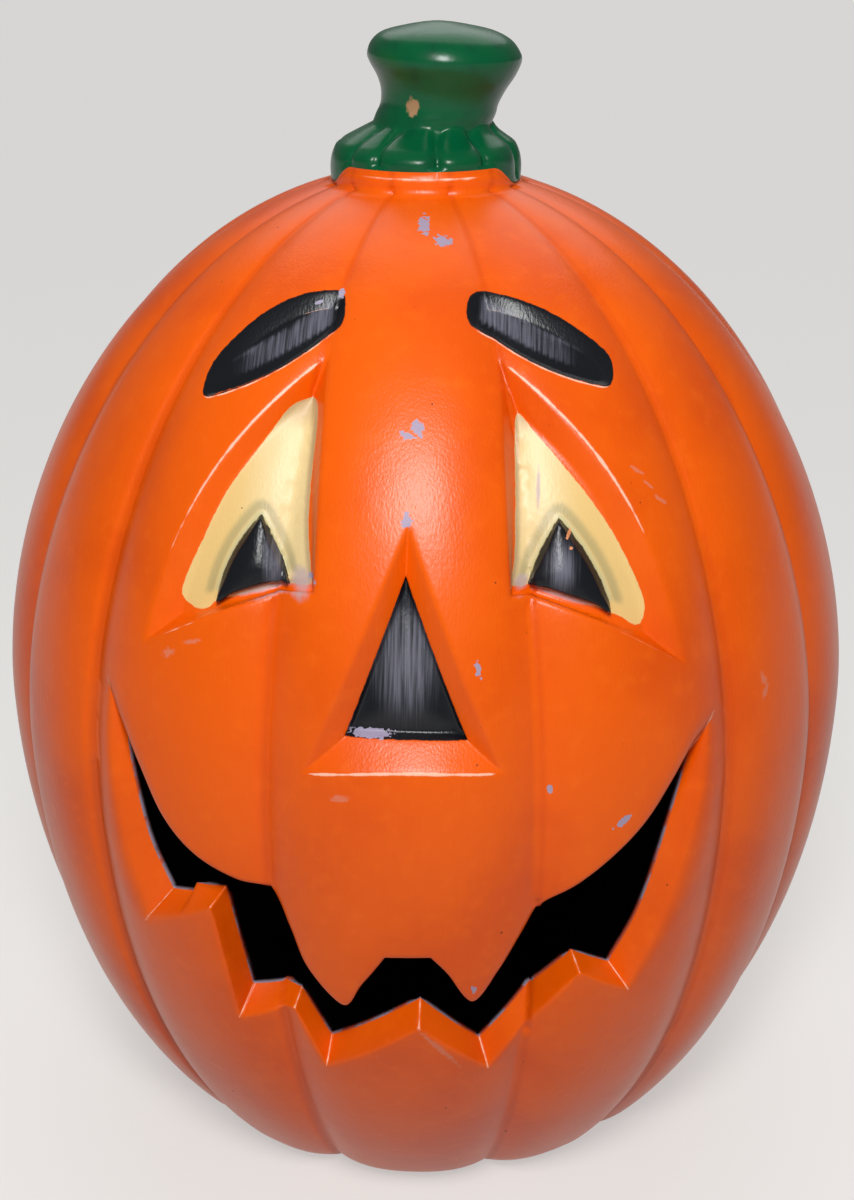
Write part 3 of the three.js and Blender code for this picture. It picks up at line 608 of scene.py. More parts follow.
def lamp_seat(side):
    """The round seat of the lamp in the back, down to the edge of its hole."""
    turn = np.linspace(0, 2 * math.pi, 97)[:-1]

    def circle(radius):
        return np.stack([-radius * np.cos(turn), LAMP_HEIGHT + radius * np.sin(turn)], -1)

    def seat(radius):
        x, z = circle(radius).T
        return np.stack([x, np.full(len(x), LAMP_SEAT - side.inset), z], -1)

    wide = WELL_RADIUS + side.inset
    narrow = wide - WELL_DRAFT
    outer = circle(wide + 2.5)
    top = side.at(circle(wide), 0.0, True)
    down = seat(narrow) - top
    ring = side.hole(outer, True)
    rings = bent(side.at(outer, 0.0, True), top, top + down * 0.12, 3)
    rings += [top + down * t for t in (0.45, 0.87)]
    rings += bent(rings[-1], seat(narrow), seat(narrow - 2.5), 3)
    rings += [seat((narrow + LAMP_HOLE) / 2), seat(LAMP_HOLE)]
    return side.strips(ring, rings)


def body_azimuths(side):
    """The body's columns, denser towards the grooves."""
    edges = [a for a in RIB_EDGES if a >= -90] + [a + 360 for a in RIB_EDGES if a < -90] + [270]
    azimuths = []
    for a, b in zip(edges, edges[1:]):
        q = np.linspace(-1, 1, round((b - a) * GIRTH / side.spacing[b > 90]) + 1)[:-1]
        azimuths += list((a + b) / 2 + (b - a) / 4 * (q + np.sin(math.pi * q / 2)))
    return np.array(azimuths + [270.0])


def body_grid(side, azimuths):
    """The ribbed body: a grid of four-sided faces, and triangles between it and the holes' rings."""
    skin, holes, kind = side.skin, side.holes, side.kind
    u, v = azimuths * GIRTH, np.array(side.rows)
    n, m = len(u) - 1, len(v)
    z = np.interp(v, PROFILE_S, PROFILE_Z)
    number = skin.add(surface(azimuths[:-1, None], z[None, :], side.inset)).reshape(n, m)
    free, cells = np.ones((n + 1, m), bool), np.ones((n, m - 1), bool)
    flats = []
    for _, loop, back in holes:
        flat = np.stack([azimuth_at(loop, back) * GIRTH, np.interp(loop[:, 1], PROFILE_Z, PROFILE_S)], -1)
        flats.append(flat)
        low, high = flat.min(0) - 9, flat.max(0) + 9
        i = np.flatnonzero((u > low[0]) & (u < high[0]))
        j = np.flatnonzero((v > low[1]) & (v < high[1]))
        points = np.stack(np.meshgrid(u[i], v[j], indexing="ij"), -1).reshape(-1, 2)
        free[np.ix_(i, j)] &= distance(points, flat).reshape(len(i), len(j)) > side.margin
        cells[np.searchsorted(u, flat[:, 0]) - 1, np.searchsorted(v, flat[:, 1]) - 1] = False
    cells &= free[:-1, :-1] & free[1:, :-1] & free[:-1, 1:] & free[1:, 1:]
    i, j = np.nonzero(cells)
    right = (i + 1) % n
    skin.face(np.stack([number[i, j], number[right, j], number[right, j + 1], number[i, j + 1]], -1), kind)

    # Triangles in the cells that were left out
    beside = np.zeros((n + 1, m), bool)
    for a, b in ((0, 0), (1, 0), (0, 1), (1, 1)):
        beside[a:n + a, b:m - 1 + b] |= ~cells
    gi, gj = np.nonzero(beside & free)
    order = {(a, b): k for k, (a, b) in enumerate(zip(gi, gj))}
    count = sum(len(f) for f in flats)
    edges = []
    for a, b in zip(*np.nonzero(~cells)):
        for cell, ends in (((a, b - 1), ((a, b), (a + 1, b))), ((a, b + 1), ((a, b + 1), (a + 1, b + 1))),
                           ((a - 1, b), ((a, b), (a, b + 1))), ((a + 1, b), ((a + 1, b), (a + 1, b + 1)))):
            if 0 <= cell[0] < n and 0 <= cell[1] < m - 1 and cells[cell]:
                edges.append(tuple(count + order[e] for e in ends))
    places, source, faces = triangulated(flats, np.stack([u[gi], v[gj]], -1), edges)
    numbers = np.concatenate([*(ring for ring, _, _ in holes), number[gi % n, gj]])[source]
    middles = places[faces].mean(1)
    a = np.clip(np.searchsorted(u, middles[:, 0]) - 1, 0, n - 1)
    b = np.clip(np.searchsorted(v, middles[:, 1]) - 1, 0, m - 2)
    keep = ~cells[a, b]
    for flat in flats:
        keep &= distance(middles, flat) > 0
    skin.face(numbers[faces[keep]], kind)
    return number


STEM_TURNS = np.linspace(-90, 270, 217)[:-1]


def lobed(half, rise):
    """Radii of the stem's ring at its columns: pillowed lobes that end in round arches under the neck."""
    _, share = across(STEM_TURNS, STEM_LOBES)
    t = max(rise, 0) / LOBE_TOP
    pillow = np.sqrt(np.clip(1.02 - np.abs(share) ** 3 - t ** 4, 0.01, 1))
    fade = smooth(rise / 3) * (1 - smooth((t - 0.72) / 0.55))
    return half - LOBE_DEPTH * fade * (1 - pillow)


def stem(side, azimuths, body_ring):
    """The shoulder's ledge and the stem on it. The green runs down over the ledge at the sides only."""
    turns = np.radians(STEM_TURNS)
    aside = np.abs((STEM_TURNS + 180) % 360 - 180)

    # The green's line dips at the sides, and rises partly again behind
    line = GREEN_START - 10.5 * smooth((aside - 46) / 26) + 6 * smooth((aside - 105) / 35)

    def ring_at(radius, z, lean=0.0):
        x, y = lean + radius * np.sin(turns), -radius * np.cos(turns)
        return np.stack([x, y, z - side.inset + 0 * turns], -1)

    ledge = [ring_at(radius - side.inset, SHOULDER + share * (line - SHOULDER)) for radius, share in LEDGE]
    ring = side.skin.add(ledge[0])
    side.skin.zipped(body_ring, ring, azimuths[:-1], STEM_TURNS, side.kind)
    # Pale line along the front of the ledge's edge: painted highlight, partly wear
    wear_and_highlight = 0.0 if side.inner else 0.75 * (1 - smooth((aside - 26) / 26))
    ring = side.strips(ring, ledge[1:], [0.5 * wear_and_highlight, wear_and_highlight])
    if not side.inner:
        side.kind = GREEN
    rings = []
    for half, lean, rise in spline(STEM, 2 if side.inner else 4)[1:]:
        z = STEM_FOOT + rise + (line - STEM_FOOT) * max(0.0, 1 - rise / 10)
        rings.append(ring_at(np.maximum(lobed(half, rise) - side.inset, 1.5), z, lean))
    side.close(side.strips(ring, rings), rings[-1], STEM[-1][1], STEM_TOP, 0.2)


def shell_side(skin, inner):
    """One side of the shell. Returns the rings of the mouth's cut and of the lamp's hole."""
    side = Side(skin, inner)
    for hand in (0, 1):
        eye(side, hand)
        brow(side, hand)
    nose(side)
    rings = mouth(side), lamp_seat(side)
    azimuths = body_azimuths(side)
    number = body_grid(side, azimuths)
    side.close(number[::-1, 0], surface(azimuths[:-1][::-1], 0.0, side.inset), 0, FOOT_RINGS)
    stem(side, azimuths, number[:, -1])
    return rings


def least(points, loops):
    """Signed distance to the nearest of some outlines, no more than FAR."""
    out = np.full(len(points), FAR)
    for loop in loops:
        k = np.flatnonzero(np.all((points > loop.min(0) - FAR) & (points < loop.max(0) + FAR), axis=1))
        out[k] = np.minimum(out[k], distance(points[k], loop))
    return out


def face_marks(points, ridges):
    """What the paint needs to know.

    "paint" holds the distances to the eyes' yellow, the pupils and the other black, and "skin" how much sheen
    is
    painted on the black, the distance from a groove, where shade is painted, and how pale a ridge is painted:
    a painted highlight, partly wear.
    """
    x, y, z = points.T
    flat = points[:, [0, 2]]
    azimuth = np.degrees(np.arctan2(x, -y))

    # Points on the face, whose azimuth is that of the body in front of them
    k = np.flatnonzero((y < -60) & (z < 530) & (z > 90) & (np.abs(x) < 160))
    azimuth[k] = azimuth_at(flat[k])
    width, share = across(azimuth, RIB_EDGES)
    groove = (1 - np.abs(share)) * np.radians(width / 2) * crest(np.clip(z, 0, SHOULDER))
    outlines = ([smooth_trace(loop, loop) for loop in EYE_PAINT], [trace(loop, loop) for loop in PUPILS],
                [*(brow_outline(BROW_RIMS, hand) for hand in (0, 1)), trace(NOSE_FLOOR, NOSE_FLOOR)])
    paint = np.full((len(points), 3), FAR)
    for column, loops in enumerate(outlines):
        paint[k, column] = least(flat[k], loops)

    # Painted sheen on the black, in grey streaks: in spots, and on the lower inner parts of the brows' floors,
    # with a painted highlight arc above them
    sheen_on_black = np.zeros(len(points))
    for cx, cz, rx, rz in SHEEN_ON_BLACK:
        sheen_on_black = np.maximum(sheen_on_black, np.exp(-((x - cx) / rx) ** 2 - ((z - cz) / rz) ** 2))
    for hand, way in enumerate((-1, 1)):
        along, above = above_brow(flat, hand)
        above = above + 4 * along * (1 - along)
        arc = 0.7 * np.exp(-((above - 8.5 - 3.5 * along) / 1.3) ** 2)
        floor = smooth((above - 1) / 2) * (1 - smooth((above - 7 - 3.5 * along) / 3))
        floor *= 0.35 + 0.5 * smooth(along)
        ends = smooth((along - 0.1) / 0.3) * (1 - smooth((along - 0.86) / 0.08)) * (x * way > 0) * (z > 440)
        sheen_on_black = np.maximum(sheen_on_black, ends * np.maximum(arc, floor))
    return {"paint": paint, "skin": np.stack([sheen_on_black, np.minimum(groove, 40), ridges], -1)}


def added(name, data):
    """A new object in the scene."""
    made = bpy.data.objects.new(name, data)
    bpy.context.collection.objects.link(made)
    return made


def piece(name, skin, materials, body, replaced, marks=None):
    """A smooth-shaded piece from a Skin."""
    points = np.concatenate(skin.points)
    used = np.unique(np.concatenate(skin.faces))
    number = np.zeros(len(points), int)
    number[used] = np.arange(len(used))
    mesh = bpy.data.meshes.new(name)
    mesh.from_pydata((points[used] * MM).tolist(), [], [number[list(f)].tolist() for f in skin.faces])
    for made in materials:
        mesh.materials.append(made)
    mesh.polygons.foreach_set("material_index", skin.kinds)
    mesh.polygons.foreach_set("use_smooth", [True] * len(skin.faces))
    mesh.update()
    if marks:
        for kind, values in marks(points[used], np.concatenate(skin.ridges)[used]).items():
            mesh.attributes.new(kind, "FLOAT_VECTOR", "POINT").data.foreach_set("vector", values.ravel())
    made = added(name, mesh)
    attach(made, body)
    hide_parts(replaced)
    return made


def colour(text):
    """Linear colour of an sRGB hex text."""
    parts = [int(text[k:k + 2], 16) / 255 for k in (1, 3, 5)]
    return (*(c / 12.92 if c <= 0.04045 else ((c + 0.055) / 1.055) ** 2.4 for c in parts), 1.0)


def node(tree, kind, inputs=(), out=0, **settings):
    """Adds a shader node with its settings and its inputs' values or links. Returns one of its outputs."""
    made = tree.nodes.new("ShaderNode" + kind)
    for name, value in settings.items():
        setattr(made, name, value)
    for name, value in inputs.items() if isinstance(inputs, dict) else enumerate(inputs):
        if isinstance(value, bpy.types.NodeSocket):
            tree.links.new(value, made.inputs[name])
        else:
            made.inputs[name].default_value = value
    return made.outputs[out]


def combined(tree, operation, first, *others):
    """Values joined one after another by a mathematical operation."""
    for other in others:
        first = node(tree, "Math", [first, other], operation=operation)
    return first


def eased(tree, value, start, full, share=1.0):
    """0 where a value is at its start, rising softly to a share where it is full."""
    return node(tree, "MapRange", [value, start, full, 0.0, share], interpolation_type="SMOOTHSTEP")


def material(name, base, roughness, **inputs):
    """A new material with its Principled shader."""
    made = bpy.data.materials.new(name)
    made.use_nodes = True
    tree = made.node_tree
    tree.nodes.clear()
    shader = node(tree, "BsdfPrincipled", {"Base Color": colour(base), "Roughness": roughness, **inputs})
    output = tree.nodes.new("ShaderNodeOutputMaterial")
    tree.links.new(shader, output.inputs["Surface"])
    return made, tree, shader.node


def in_mm(tree):
    """Object coordinates in millimetres."""
    return node(tree, "VectorMath", [node(tree, "TexCoord", out=3), (1000,) * 3], operation="MULTIPLY")


def noise(tree, place, size, detail=2.0, stretch=(1, 1, 1)):
    """Noise whose grains are about `size` millimetres, stretched by a factor along each axis."""
    scale = tuple(1 / (size * k) for k in stretch)
    scaled = node(tree, "VectorMath", [place, scale], operation="MULTIPLY")
    return node(tree, "TexNoise", {"Vector": scaled, "Scale": 1.0, "Detail": detail})


def ellipse(tree, place, centre, reach, turn=0.0):
    """Distance from the centre of an ellipse or ellipsoid, 1 at its edge."""
    inside = node(tree, "Mapping", {"Vector": place, "Location": centre, "Scale": reach,
                                    "Rotation": (0, 0, math.radians(turn))}, vector_type="TEXTURE")
    return node(tree, "VectorMath", [inside], 1, operation="LENGTH")


def layered(tree, shader, layers):
    """Paint layers over the base: (colour, roughness, value, where it starts, where it covers, share)."""
    base, base_roughness = shader.inputs["Base Color"], shader.inputs["Roughness"]
    tint, rough = tuple(base.default_value), base_roughness.default_value
    for paint, gloss, value, start, full, share in layers:
        cover = eased(tree, value, start, full, share)
        tint = node(tree, "Mix", {0: cover, 6: tint, 7: colour(paint)}, 2, data_type="RGBA")
        if gloss is not None:
            rough = node(tree, "Mix", {0: cover, 2: rough, 3: gloss}, data_type="FLOAT")
    tree.links.new(tint, base)
    tree.links.new(rough, base_roughness)


def bumped(tree, shader, parts):
    """Bump from (height value, millimetres) pairs."""
    total = 0.0
    for value, height in parts:
        total = node(tree, "Math", [value, height, total], operation="MULTIPLY_ADD")
    bump = node(tree, "Bump", {"Strength": 1.0, "Distance": MM, "Height": total})
    tree.links.new(bump, shader.inputs["Normal"])


# Spots on the face: x, z, half width, half height, turn in degrees. Chips show bare plastic
CHIPS = [(2.9, 523.3, 2.6, 3.4, 20), (13, 517.7, 4.2, 1.8, -10), (5.2, 448.6, 3.0, 3.2, 30),
         (0.2, 445.8, 3.4, 1.5, -8), (1.6, 412.4, 2.2, 3.0, 0), (34.8, 349.6, 1.5, 3.6, 15),
         (-42.8, 383.6, 2.6, 1.3, 20),
         (103.6, 270.5, 4.6, 1.8, 35), (68.7, 288.6, 1.3, 2.3, 0), (34.5, 183.2, 1.3, 2.4, 0),
         (-14.5, 317.4, 10, 1.6, 0), (-45, 493, 2.4, 0.8, 25), (-34.5, 497.0, 1.7, 1.7, 0)]
SCUFFS = [(173.2, 317, 1.1, 3.2, 25), (174.6, 311, 1.1, 3.2, -12), (18.2, 143.5, 1.3, 14, 35),
          (-111.1, 344.6, 3.0, 1.6, 30), (-99, 352, 3.6, 1.0, 20), (106, 425, 3.6, 0.6, -34),
          (112, 418, 2.6, 0.5, -42), (117.5, 411, 3.2, 0.6, -38), (-28, 290, 3.6, 1.4, 10)]
FLAKES = [(74.4, 401, 1.7, 0.8, 50), (75.9, 395.9, 0.7, 0.7, 0)]
GREYED = [(-66, 374.8, 13, 1.3, 13), (-48, 381, 4.2, 5, 0), (74, 373.6, 15, 1.3, -16), (53.5, 380.5, 3, 3, 0),
          (60.4, 419, 0.9, 8, 0)]

# A distance that is past every spot
NOWHERE = 9.0

# Both paints are satin, so they mirror less than bare plastic
SATIN = {"Specular IOR Level": 0.3}


def orange_paint():
    """Sprayed orange with a soft sheen, mottled and darker in the grooves, with the face's yellow and black.

    Grooves are darkened with painted shade. Ridges are pale: painted highlight, partly wear.
    Wear shows the moulding: lavender-grey in chips, and dark specks.
    """
    made, tree, shader = material("orange_sprayed_paint", "#F05E00", 0.33, **SATIN)
    place = in_mm(tree)
    paint, skin = (node(tree, "Attribute", out=1, attribute_name=name) for name in ("paint", "skin"))
    (x, y, z), (eye, pupil, black), (sheen_on_black, valley, ridge) = (
        node(tree, "SeparateXYZ", [vector]).node.outputs for vector in (place, paint, skin))
    ragged, blotch, mottle = (noise(tree, place, *grain) for grain in ((3.2, 4.0), (70, 3.0), (9, 4.0)))
    rough_edge = node(tree, "MapRange", [ragged, 0.0, 1.0, -0.45, 0.45])
    eye, pupil_edge, black = (combined(tree, "ADD", edge, rough_edge) for edge in (eye, pupil, black))

    # Inside the yellow: paler towards the nose, a painted highlight, with a tan margin there and at the upper
    # tip
    yellow = eased(tree, eye, 0.3, -0.5)
    beside = node(tree, "Math", [x], operation="ABSOLUTE")
    inward = combined(tree, "MULTIPLY", eased(tree, beside, 88, 58), yellow)
    tan = combined(tree, "MULTIPLY", eased(tree, eye, -4.0, -0.3), eased(tree, beside, 60, 50))
    tan = combined(tree, "MAXIMUM", tan, eased(tree, z, 437, 451, 0.75))
    tan = combined(tree, "MULTIPLY", tan, yellow)

    # Round each pupil, above the line of its feet only: an olive shadow outside a pale ring
    feet = node(tree, "Math", [beside, 0.3, z], operation="MULTIPLY_ADD")
    over = combined(tree, "MULTIPLY", eased(tree, feet, 396, 401), yellow)
    olive, ring = (
        combined(tree, "MULTIPLY", eased(tree, pupil, rise, top), eased(tree, pupil_edge, end, top), over)
        for rise, top, end in ((0.8, 3.6, 8.5), (-3.0, 0.4, 3.4)))

    # Black, with a painted sheen in grey streaks
    black = combined(tree, "MAXIMUM", *(eased(tree, edge, 0.45, -0.15) for edge in (pupil_edge, black)))
    sheen_streaks = noise(tree, place, 0.9, 2.0, (1, 30, 30))
    sheen_streaks = node(tree, "MapRange", [sheen_streaks, 0.3, 0.7, 0.45, 1.15])
    streaked_sheen_on_black = combined(tree, "MULTIPLY", sheen_streaks, black, sheen_on_black)

    wear_and_highlight = node(tree, "MapRange", [noise(tree, place, 7, 3.0), 0.25, 0.75, 1.3, 0.7])
    wear_and_highlight = combined(tree, "MULTIPLY", ridge, wear_and_highlight)
    flat = node(tree, "CombineXYZ", [x, z, 0.0])
    behind = node(tree, "Math", [y, 0.0], operation="GREATER_THAN")
    chip_edge = noise(tree, place, 2.2, 5.0)

    def nearest(spots, rough=chip_edge, amount=2.6):
        """Distance to the nearest of some spots on the face, 1 at their edges, made ragged by a noise."""
        least = NOWHERE
        for cx, cz, rx, rz, turn in spots:
            far = ellipse(tree, flat, (cx, cz, 0), (rx, rz, 1), turn)
            least = node(tree, "Math", [far, least], operation="MINIMUM")
        least = node(tree, "Math", [rough, amount, least], operation="MULTIPLY_ADD")
        return node(tree, "Math", [behind, NOWHERE, least], operation="MULTIPLY_ADD")

    speck_place = node(tree, "VectorMath", [place, (1 / 9,) * 3], operation="MULTIPLY")
    speck = node(tree, "TexVoronoi", {"Vector": speck_place, "Scale": 1.0})
    grime = node(tree, "MapRange", [noise(tree, place, 30, 2.0), 0.58, 0.8, 0.0, 0.1])
    speck = combined(tree, "SUBTRACT", speck, grime)
    speck = node(tree, "Math", [ragged, -0.05, speck], operation="MULTIPLY_ADD")

    layered(tree, shader, [
        ("#DC4C00", None, blotch, 0.42, 0.7, 0.6),
        ("#F86A0C", None, mottle, 0.5, 0.75, 0.3),
        # Painted shade, darker towards the grooves
        ("#C03A00", None, valley, 3.0, 0.2, 0.3),
        ("#E8C47E", 0.38, yellow, 0.0, 1.0, 1.0),
        # Painted highlight: paler yellow towards the nose
        ("#E9D097", None, inward, 0.0, 1.0, 1.0),
        ("#BBA078", 0.42, tan, 0.0, 1.0, 0.85),
        ("#8C8A66", 0.38, olive, 0.0, 1.0, 0.52),
        ("#C3BF92", 0.38, ring, 0.2, 0.9, 0.75),
        ("#B9A7AC", 0.45, nearest(GREYED, ragged, 0.8), 1.9, 0.9, 0.75),
        ("#121419", 0.3, black, 0.0, 1.0, 1.0),
        # Painted sheen on the black, in grey streaks
        ("#71727F", 0.36, streaked_sheen_on_black, 0.1, 0.95, 0.85),
        # Pale ridges: painted highlight, partly wear
        ("#FFC4A8", 0.45, wear_and_highlight, 0.5, 0.85, 0.95),
        ("#DB8C74", 0.5, nearest(SCUFFS), 2.7, 2.0, 0.5),
        ("#A299B2", 0.5, nearest(CHIPS), 2.35, 2.2, 0.95),
        ("#F3A06E", 0.5, nearest(FLAKES), 2.45, 2.2, 0.85),
        ("#5A2410", 0.6, speck, 0.0, -0.02, 0.8),
    ])
    bumped(tree, shader, [(noise(tree, place, 1.5), 0.02), (noise(tree, place, 1.1, 1.0, (1, 1, 26)), 0.12),
                          (noise(tree, place, 28), 0.35), (mottle, 0.05)])
    return made


def green_paint():
    """Green paint, glossier than the orange, darker in patches and rubbed to tan on the stem's neck."""
    made, tree, shader = material("green_gloss_paint", "#005430", 0.27, **SATIN)
    place = in_mm(tree)
    tan = ellipse(tree, place, (-5, -30, 573), (4.5, 30, 5.5))
    tan = node(tree, "Math", [noise(tree, place, 3.5, 4.0), 1.6, tan], operation="MULTIPLY_ADD")
    olive = ellipse(tree, place, (-17, -22, 589), (13, 30, 13))
    layered(tree, shader, [
        ("#00432A", None, noise(tree, place, 12, 3.0), 0.45, 0.75, 0.7),
        ("#27601E", None, olive, 1.1, 0.3, 0.4),
        ("#B08560", 0.45, tan, 1.75, 1.35, 0.85),
    ])
    bumped(tree, shader, [(noise(tree, place, 2.2), 0.05), (noise(tree, place, 14), 0.3)])
    return made


def bare_plastic():
    """Unpainted blow-moulded polyethylene at the cut edges: lavender-grey, waxy, with overspray and dirt."""
    made, tree, shader = material("bare_polyethylene", "#94899A", 0.5)
    place = in_mm(tree)
    layered(tree, shader, [("#C44A10", 0.5, noise(tree, place, 14, 3.0), 0.47, 0.56, 0.9),
                           ("#4A3330", 0.6, noise(tree, place, 5, 4.0), 0.5, 0.75, 0.5)])
    bumped(tree, shader, [(noise(tree, place, 1.2), 0.08)])
    return made


# The lamp. Distances run out of the back from the lamp's seat, so what reaches into the pumpkin is negative
THREAD_PITCH, THREAD_DEPTH = 25.4 / 7, 0.45
GLOBE_RADIUS, GLOBE_TIP, GLOBE_END = 24.0, -109.5, 20
HEAD_RADIUS, HEAD_HEIGHT, SHANK_RADIUS = 3.2, 2.2, 1.5
HEAD_ROUNDING = ((3.19, 1.0), (3.1, 0.55), (2.75, 0.2), (2.2, 0.0))
SLOT_WIDTH, SLOT_DEPTH = 0.8, 0.9
FILAMENT_END, FILAMENT_SAG, WIRE_END = 8.7, 3.0, -84.1
COIL_RADIUS, COIL_WIRE, COIL_TURNS = 0.38, 0.11, 28
GLASS_WALL = 0.8

# From the globe to its neck: the first handle's offset from the globe, the second handle, and the end
FLARE = [(-3, 10), (12.3, -55.5), (12.3, -47.5)]
NECK = [(12.2, -45.0), (11.5, -43.6), (11.3, -42), (11.3, -34)]

# Smallest angle between faces that makes a sharp edge
SHARP = math.radians(32)

METAL = {"Metallic": 1.0}

# Each slot's finish: name, colour, roughness, shader values, then layers of another colour
# (colour, roughness, grain in mm, noise value where it starts, where it covers, share)
# and bumps (grain in mm, height in mm and, where the grain is drawn out, its stretch along each axis)
FINISHES = {
    # The moulding's inner face: painted shade, near black and matt, so that the mouth looks deep
    "inside": ("inside_polyethylene_painted_shade", "#1D1110", 0.6, {},
               [("#2E1812", 0.5, 40, 0.4, 0.75, 0.8)], [(4, 0.2)]),
    # Injection-moulded ABS, eroded mould: black with a soft grey sheen that hides the flow
    "black_plastic": ("moulded_black_abs", "#1C1C1E", 0.44, {"IOR": 1.54},
                      [("#2B2B2D", 0.52, 7, 0.45, 0.75, 0.6)], [(0.8, 0.05)]),
    # Pressed phenolic: dark brown, a little glossy, with paler flecks of filler
    "phenolic": ("pressed_phenolic", "#2E1D13", 0.34, {"IOR": 1.6},
                 [("#4A3220", 0.4, 0.9, 0.58, 0.7, 0.7)], [(1.2, 0.03)]),
    # Moulded rubber: matt and nearly black, greyed where it is rubbed
    "black_rubber": ("moulded_rubber", "#121213", 0.72, {"IOR": 1.52},
                     [("#242424", 0.8, 3, 0.5, 0.75, 0.7)], [(0.6, 0.04)]),
    # Rolled and stamped brass sheet: warm yellow, with duller brown tarnish in patches
    "brass_sheet": ("stamped_brass", "#C79C4C", 0.27, METAL,
                    [("#8F6A34", 0.45, 5, 0.45, 0.75, 0.7)], [(0.5, 0.01, (6, 1, 1))]),
    # Zinc-plated steel: bluish white, clouded by its passivation
    "zinc_steel": ("zinc_plated_steel", "#B9BDC2", 0.3, METAL,
                   [("#9A9DA0", 0.42, 2.2, 0.45, 0.72, 0.7)], [(0.6, 0.01)]),
    # Cold-rolled spring strip: grey, with fine lines along the strip
    "spring_steel": ("cold_rolled_spring_steel", "#8D9196", 0.28, METAL,
                     [("#6F7074", 0.4, 4, 0.5, 0.75, 0.6)], [(0.4, 0.012, (1, 20, 20))]),
    # Tin solder, dipped: dull silver with a lumpy skin
    "solder": ("dipped_tin_solder", "#A7A9AC", 0.42, METAL,
               [("#7C7E80", 0.55, 1.5, 0.5, 0.75, 0.7)], [(2.0, 0.15)]),
    # Fused black glass: deep violet-black and glossy
    "black_glass": ("fused_black_glass", "#0B0710", 0.1, {"IOR": 1.52},
                    [("#19121F", 0.16, 4, 0.5, 0.75, 0.6)], [(3.0, 0.05)]),
    # Deep-drawn aluminium: bright, with faint rubbed marks round it
    "bulb_base": ("drawn_aluminium", "#D5D7D9", 0.24, METAL,
                  [("#B4B6B8", 0.38, 3, 0.48, 0.75, 0.7)], [(0.5, 0.01, (1, 12, 1))]),
    # Soda-lime glass, etched inside: a soft white glow that blurs what is behind it
    "frosted_glass": ("inside_frosted_glass", "#F4F2EA", 0.45, {"IOR": 1.5, "Transmission Weight": 0.35},
                      [("#E9E6DC", 0.5, 12, 0.45, 0.75, 0.6)], [(0.7, 0.01)]),
    # Drawn lead glass: clear with a cool tint
    "clear_glass": ("drawn_lead_glass", "#E3ECEA", 0.04, {"IOR": 1.54, "Transmission Weight": 1.0},
                    [("#D2DEDC", 0.06, 6, 0.45, 0.75, 0.5)], [(5, 0.05)]),
    # Drawn nickel wire: warm grey with fine die lines
    "nickel_wire": ("drawn_nickel", "#B8B4A9", 0.26, METAL,
                    [("#8E8B84", 0.4, 1.5, 0.5, 0.75, 0.6)], [(0.3, 0.01, (1, 10, 1))]),
    # Drawn tungsten: dark grey, dulled by its first heating
    "tungsten": ("drawn_tungsten", "#5E5C5A", 0.4, METAL,
                 [("#3F3E3D", 0.5, 0.8, 0.45, 0.7, 0.7)], [(0.2, 0.005)]),
}


def finish(name, base, roughness, values, coats, bumps):
    """A material from a row of FINISHES."""
    made, tree, shader = material(name, base, roughness, **values)
    place = in_mm(tree)
    layered(tree, shader, [(paint, gloss, noise(tree, place, grain, 3.0), *rest)
                           for paint, gloss, grain, *rest in coats])
    bumped(tree, shader, [(noise(tree, place, grain, 2.0, *stretch), height)
                          for grain, height, *stretch in bumps])
    return made


def crisp(mesh):
    """Smooth shading between sharp edges."""
    mesh.polygons.foreach_set("use_smooth", [True] * len(mesh.polygons))
    mesh.set_sharp_from_angle(angle=SHARP)


def rounded_edges(made, width):
    """Small rounds on a piece's sharp edges, which catch the light."""
    made.modifiers.new("joined", "WELD").merge_threshold = 0.01 * MM
    bevel = made.modifiers.new("rounded", "BEVEL")
    bevel.width, bevel.segments = width * MM, 2
    bevel.limit_method, bevel.angle_limit = "ANGLE", SHARP
    made.modifiers.new("even", "WEIGHTED_NORMAL").keep_sharp = True


def lamp_piece(skin, name, slot, body, replaced, width=0.0):
    """A piece of the lamp from a Skin, with its faces turned outward, in its slot's finish."""
    made = piece(name, skin, [finishes[slot]], body, replaced)
    work = bmesh.new()
    work.from_mesh(made.data)
    bmesh.ops.recalc_face_normals(work, faces=work.faces)
    work.to_mesh(made.data)
    work.free()
    crisp(made.data)
    if width:
        rounded_edges(made, width)


def lamp_ring(skin, centre, radius, along, angles):
    """Adds a ring of points round an axis along Y. Returns their numbers."""
    return skin.add(np.stack([centre[0] + radius * np.cos(angles), LAMP_SEAT + along + 0 * angles,
                              LAMP_HEIGHT + centre[1] + radius * np.sin(angles)], -1))


def turned(rows, centre=(0.0, 0.0), wave=None, count=72):
    """A solid turned on an axis along Y, from a closed line of (radius, distance)."""
    skin, rings = Skin(), []
    turn = np.linspace(0, 2 * math.pi, count + 1)[:-1]
    for radius, along in rows:
        angles = turn if radius else turn[:1]
        rise = wave(along, angles) if wave and radius else 0.0
        rings.append(lamp_ring(skin, centre, radius + rise, along, angles))
    for first, second in zip(rings, rings[1:] + rings[:1]):
        if len(first) == len(second) > 1:
            skin.strip(first, second)
        elif len(first) > 1:
            skin.fan(first, second[0])
        elif len(second) > 1:
            skin.fan(second[::-1], first[0])
    return skin


def thread(start, end):
    """The wave of a rolled right-hand thread between two distances."""
    def wave(along, turn):
        depth = THREAD_DEPTH * smooth((along - start) / 1.6) * smooth((end - along) / 1.6)
        return depth * np.cos(2 * math.pi * along / THREAD_PITCH + turn)
    return wave


def threaded(radius, start, end):
    """Rows close enough for a thread."""
    return [(radius, along) for along in np.arange(start, end, THREAD_PITCH / 12)]


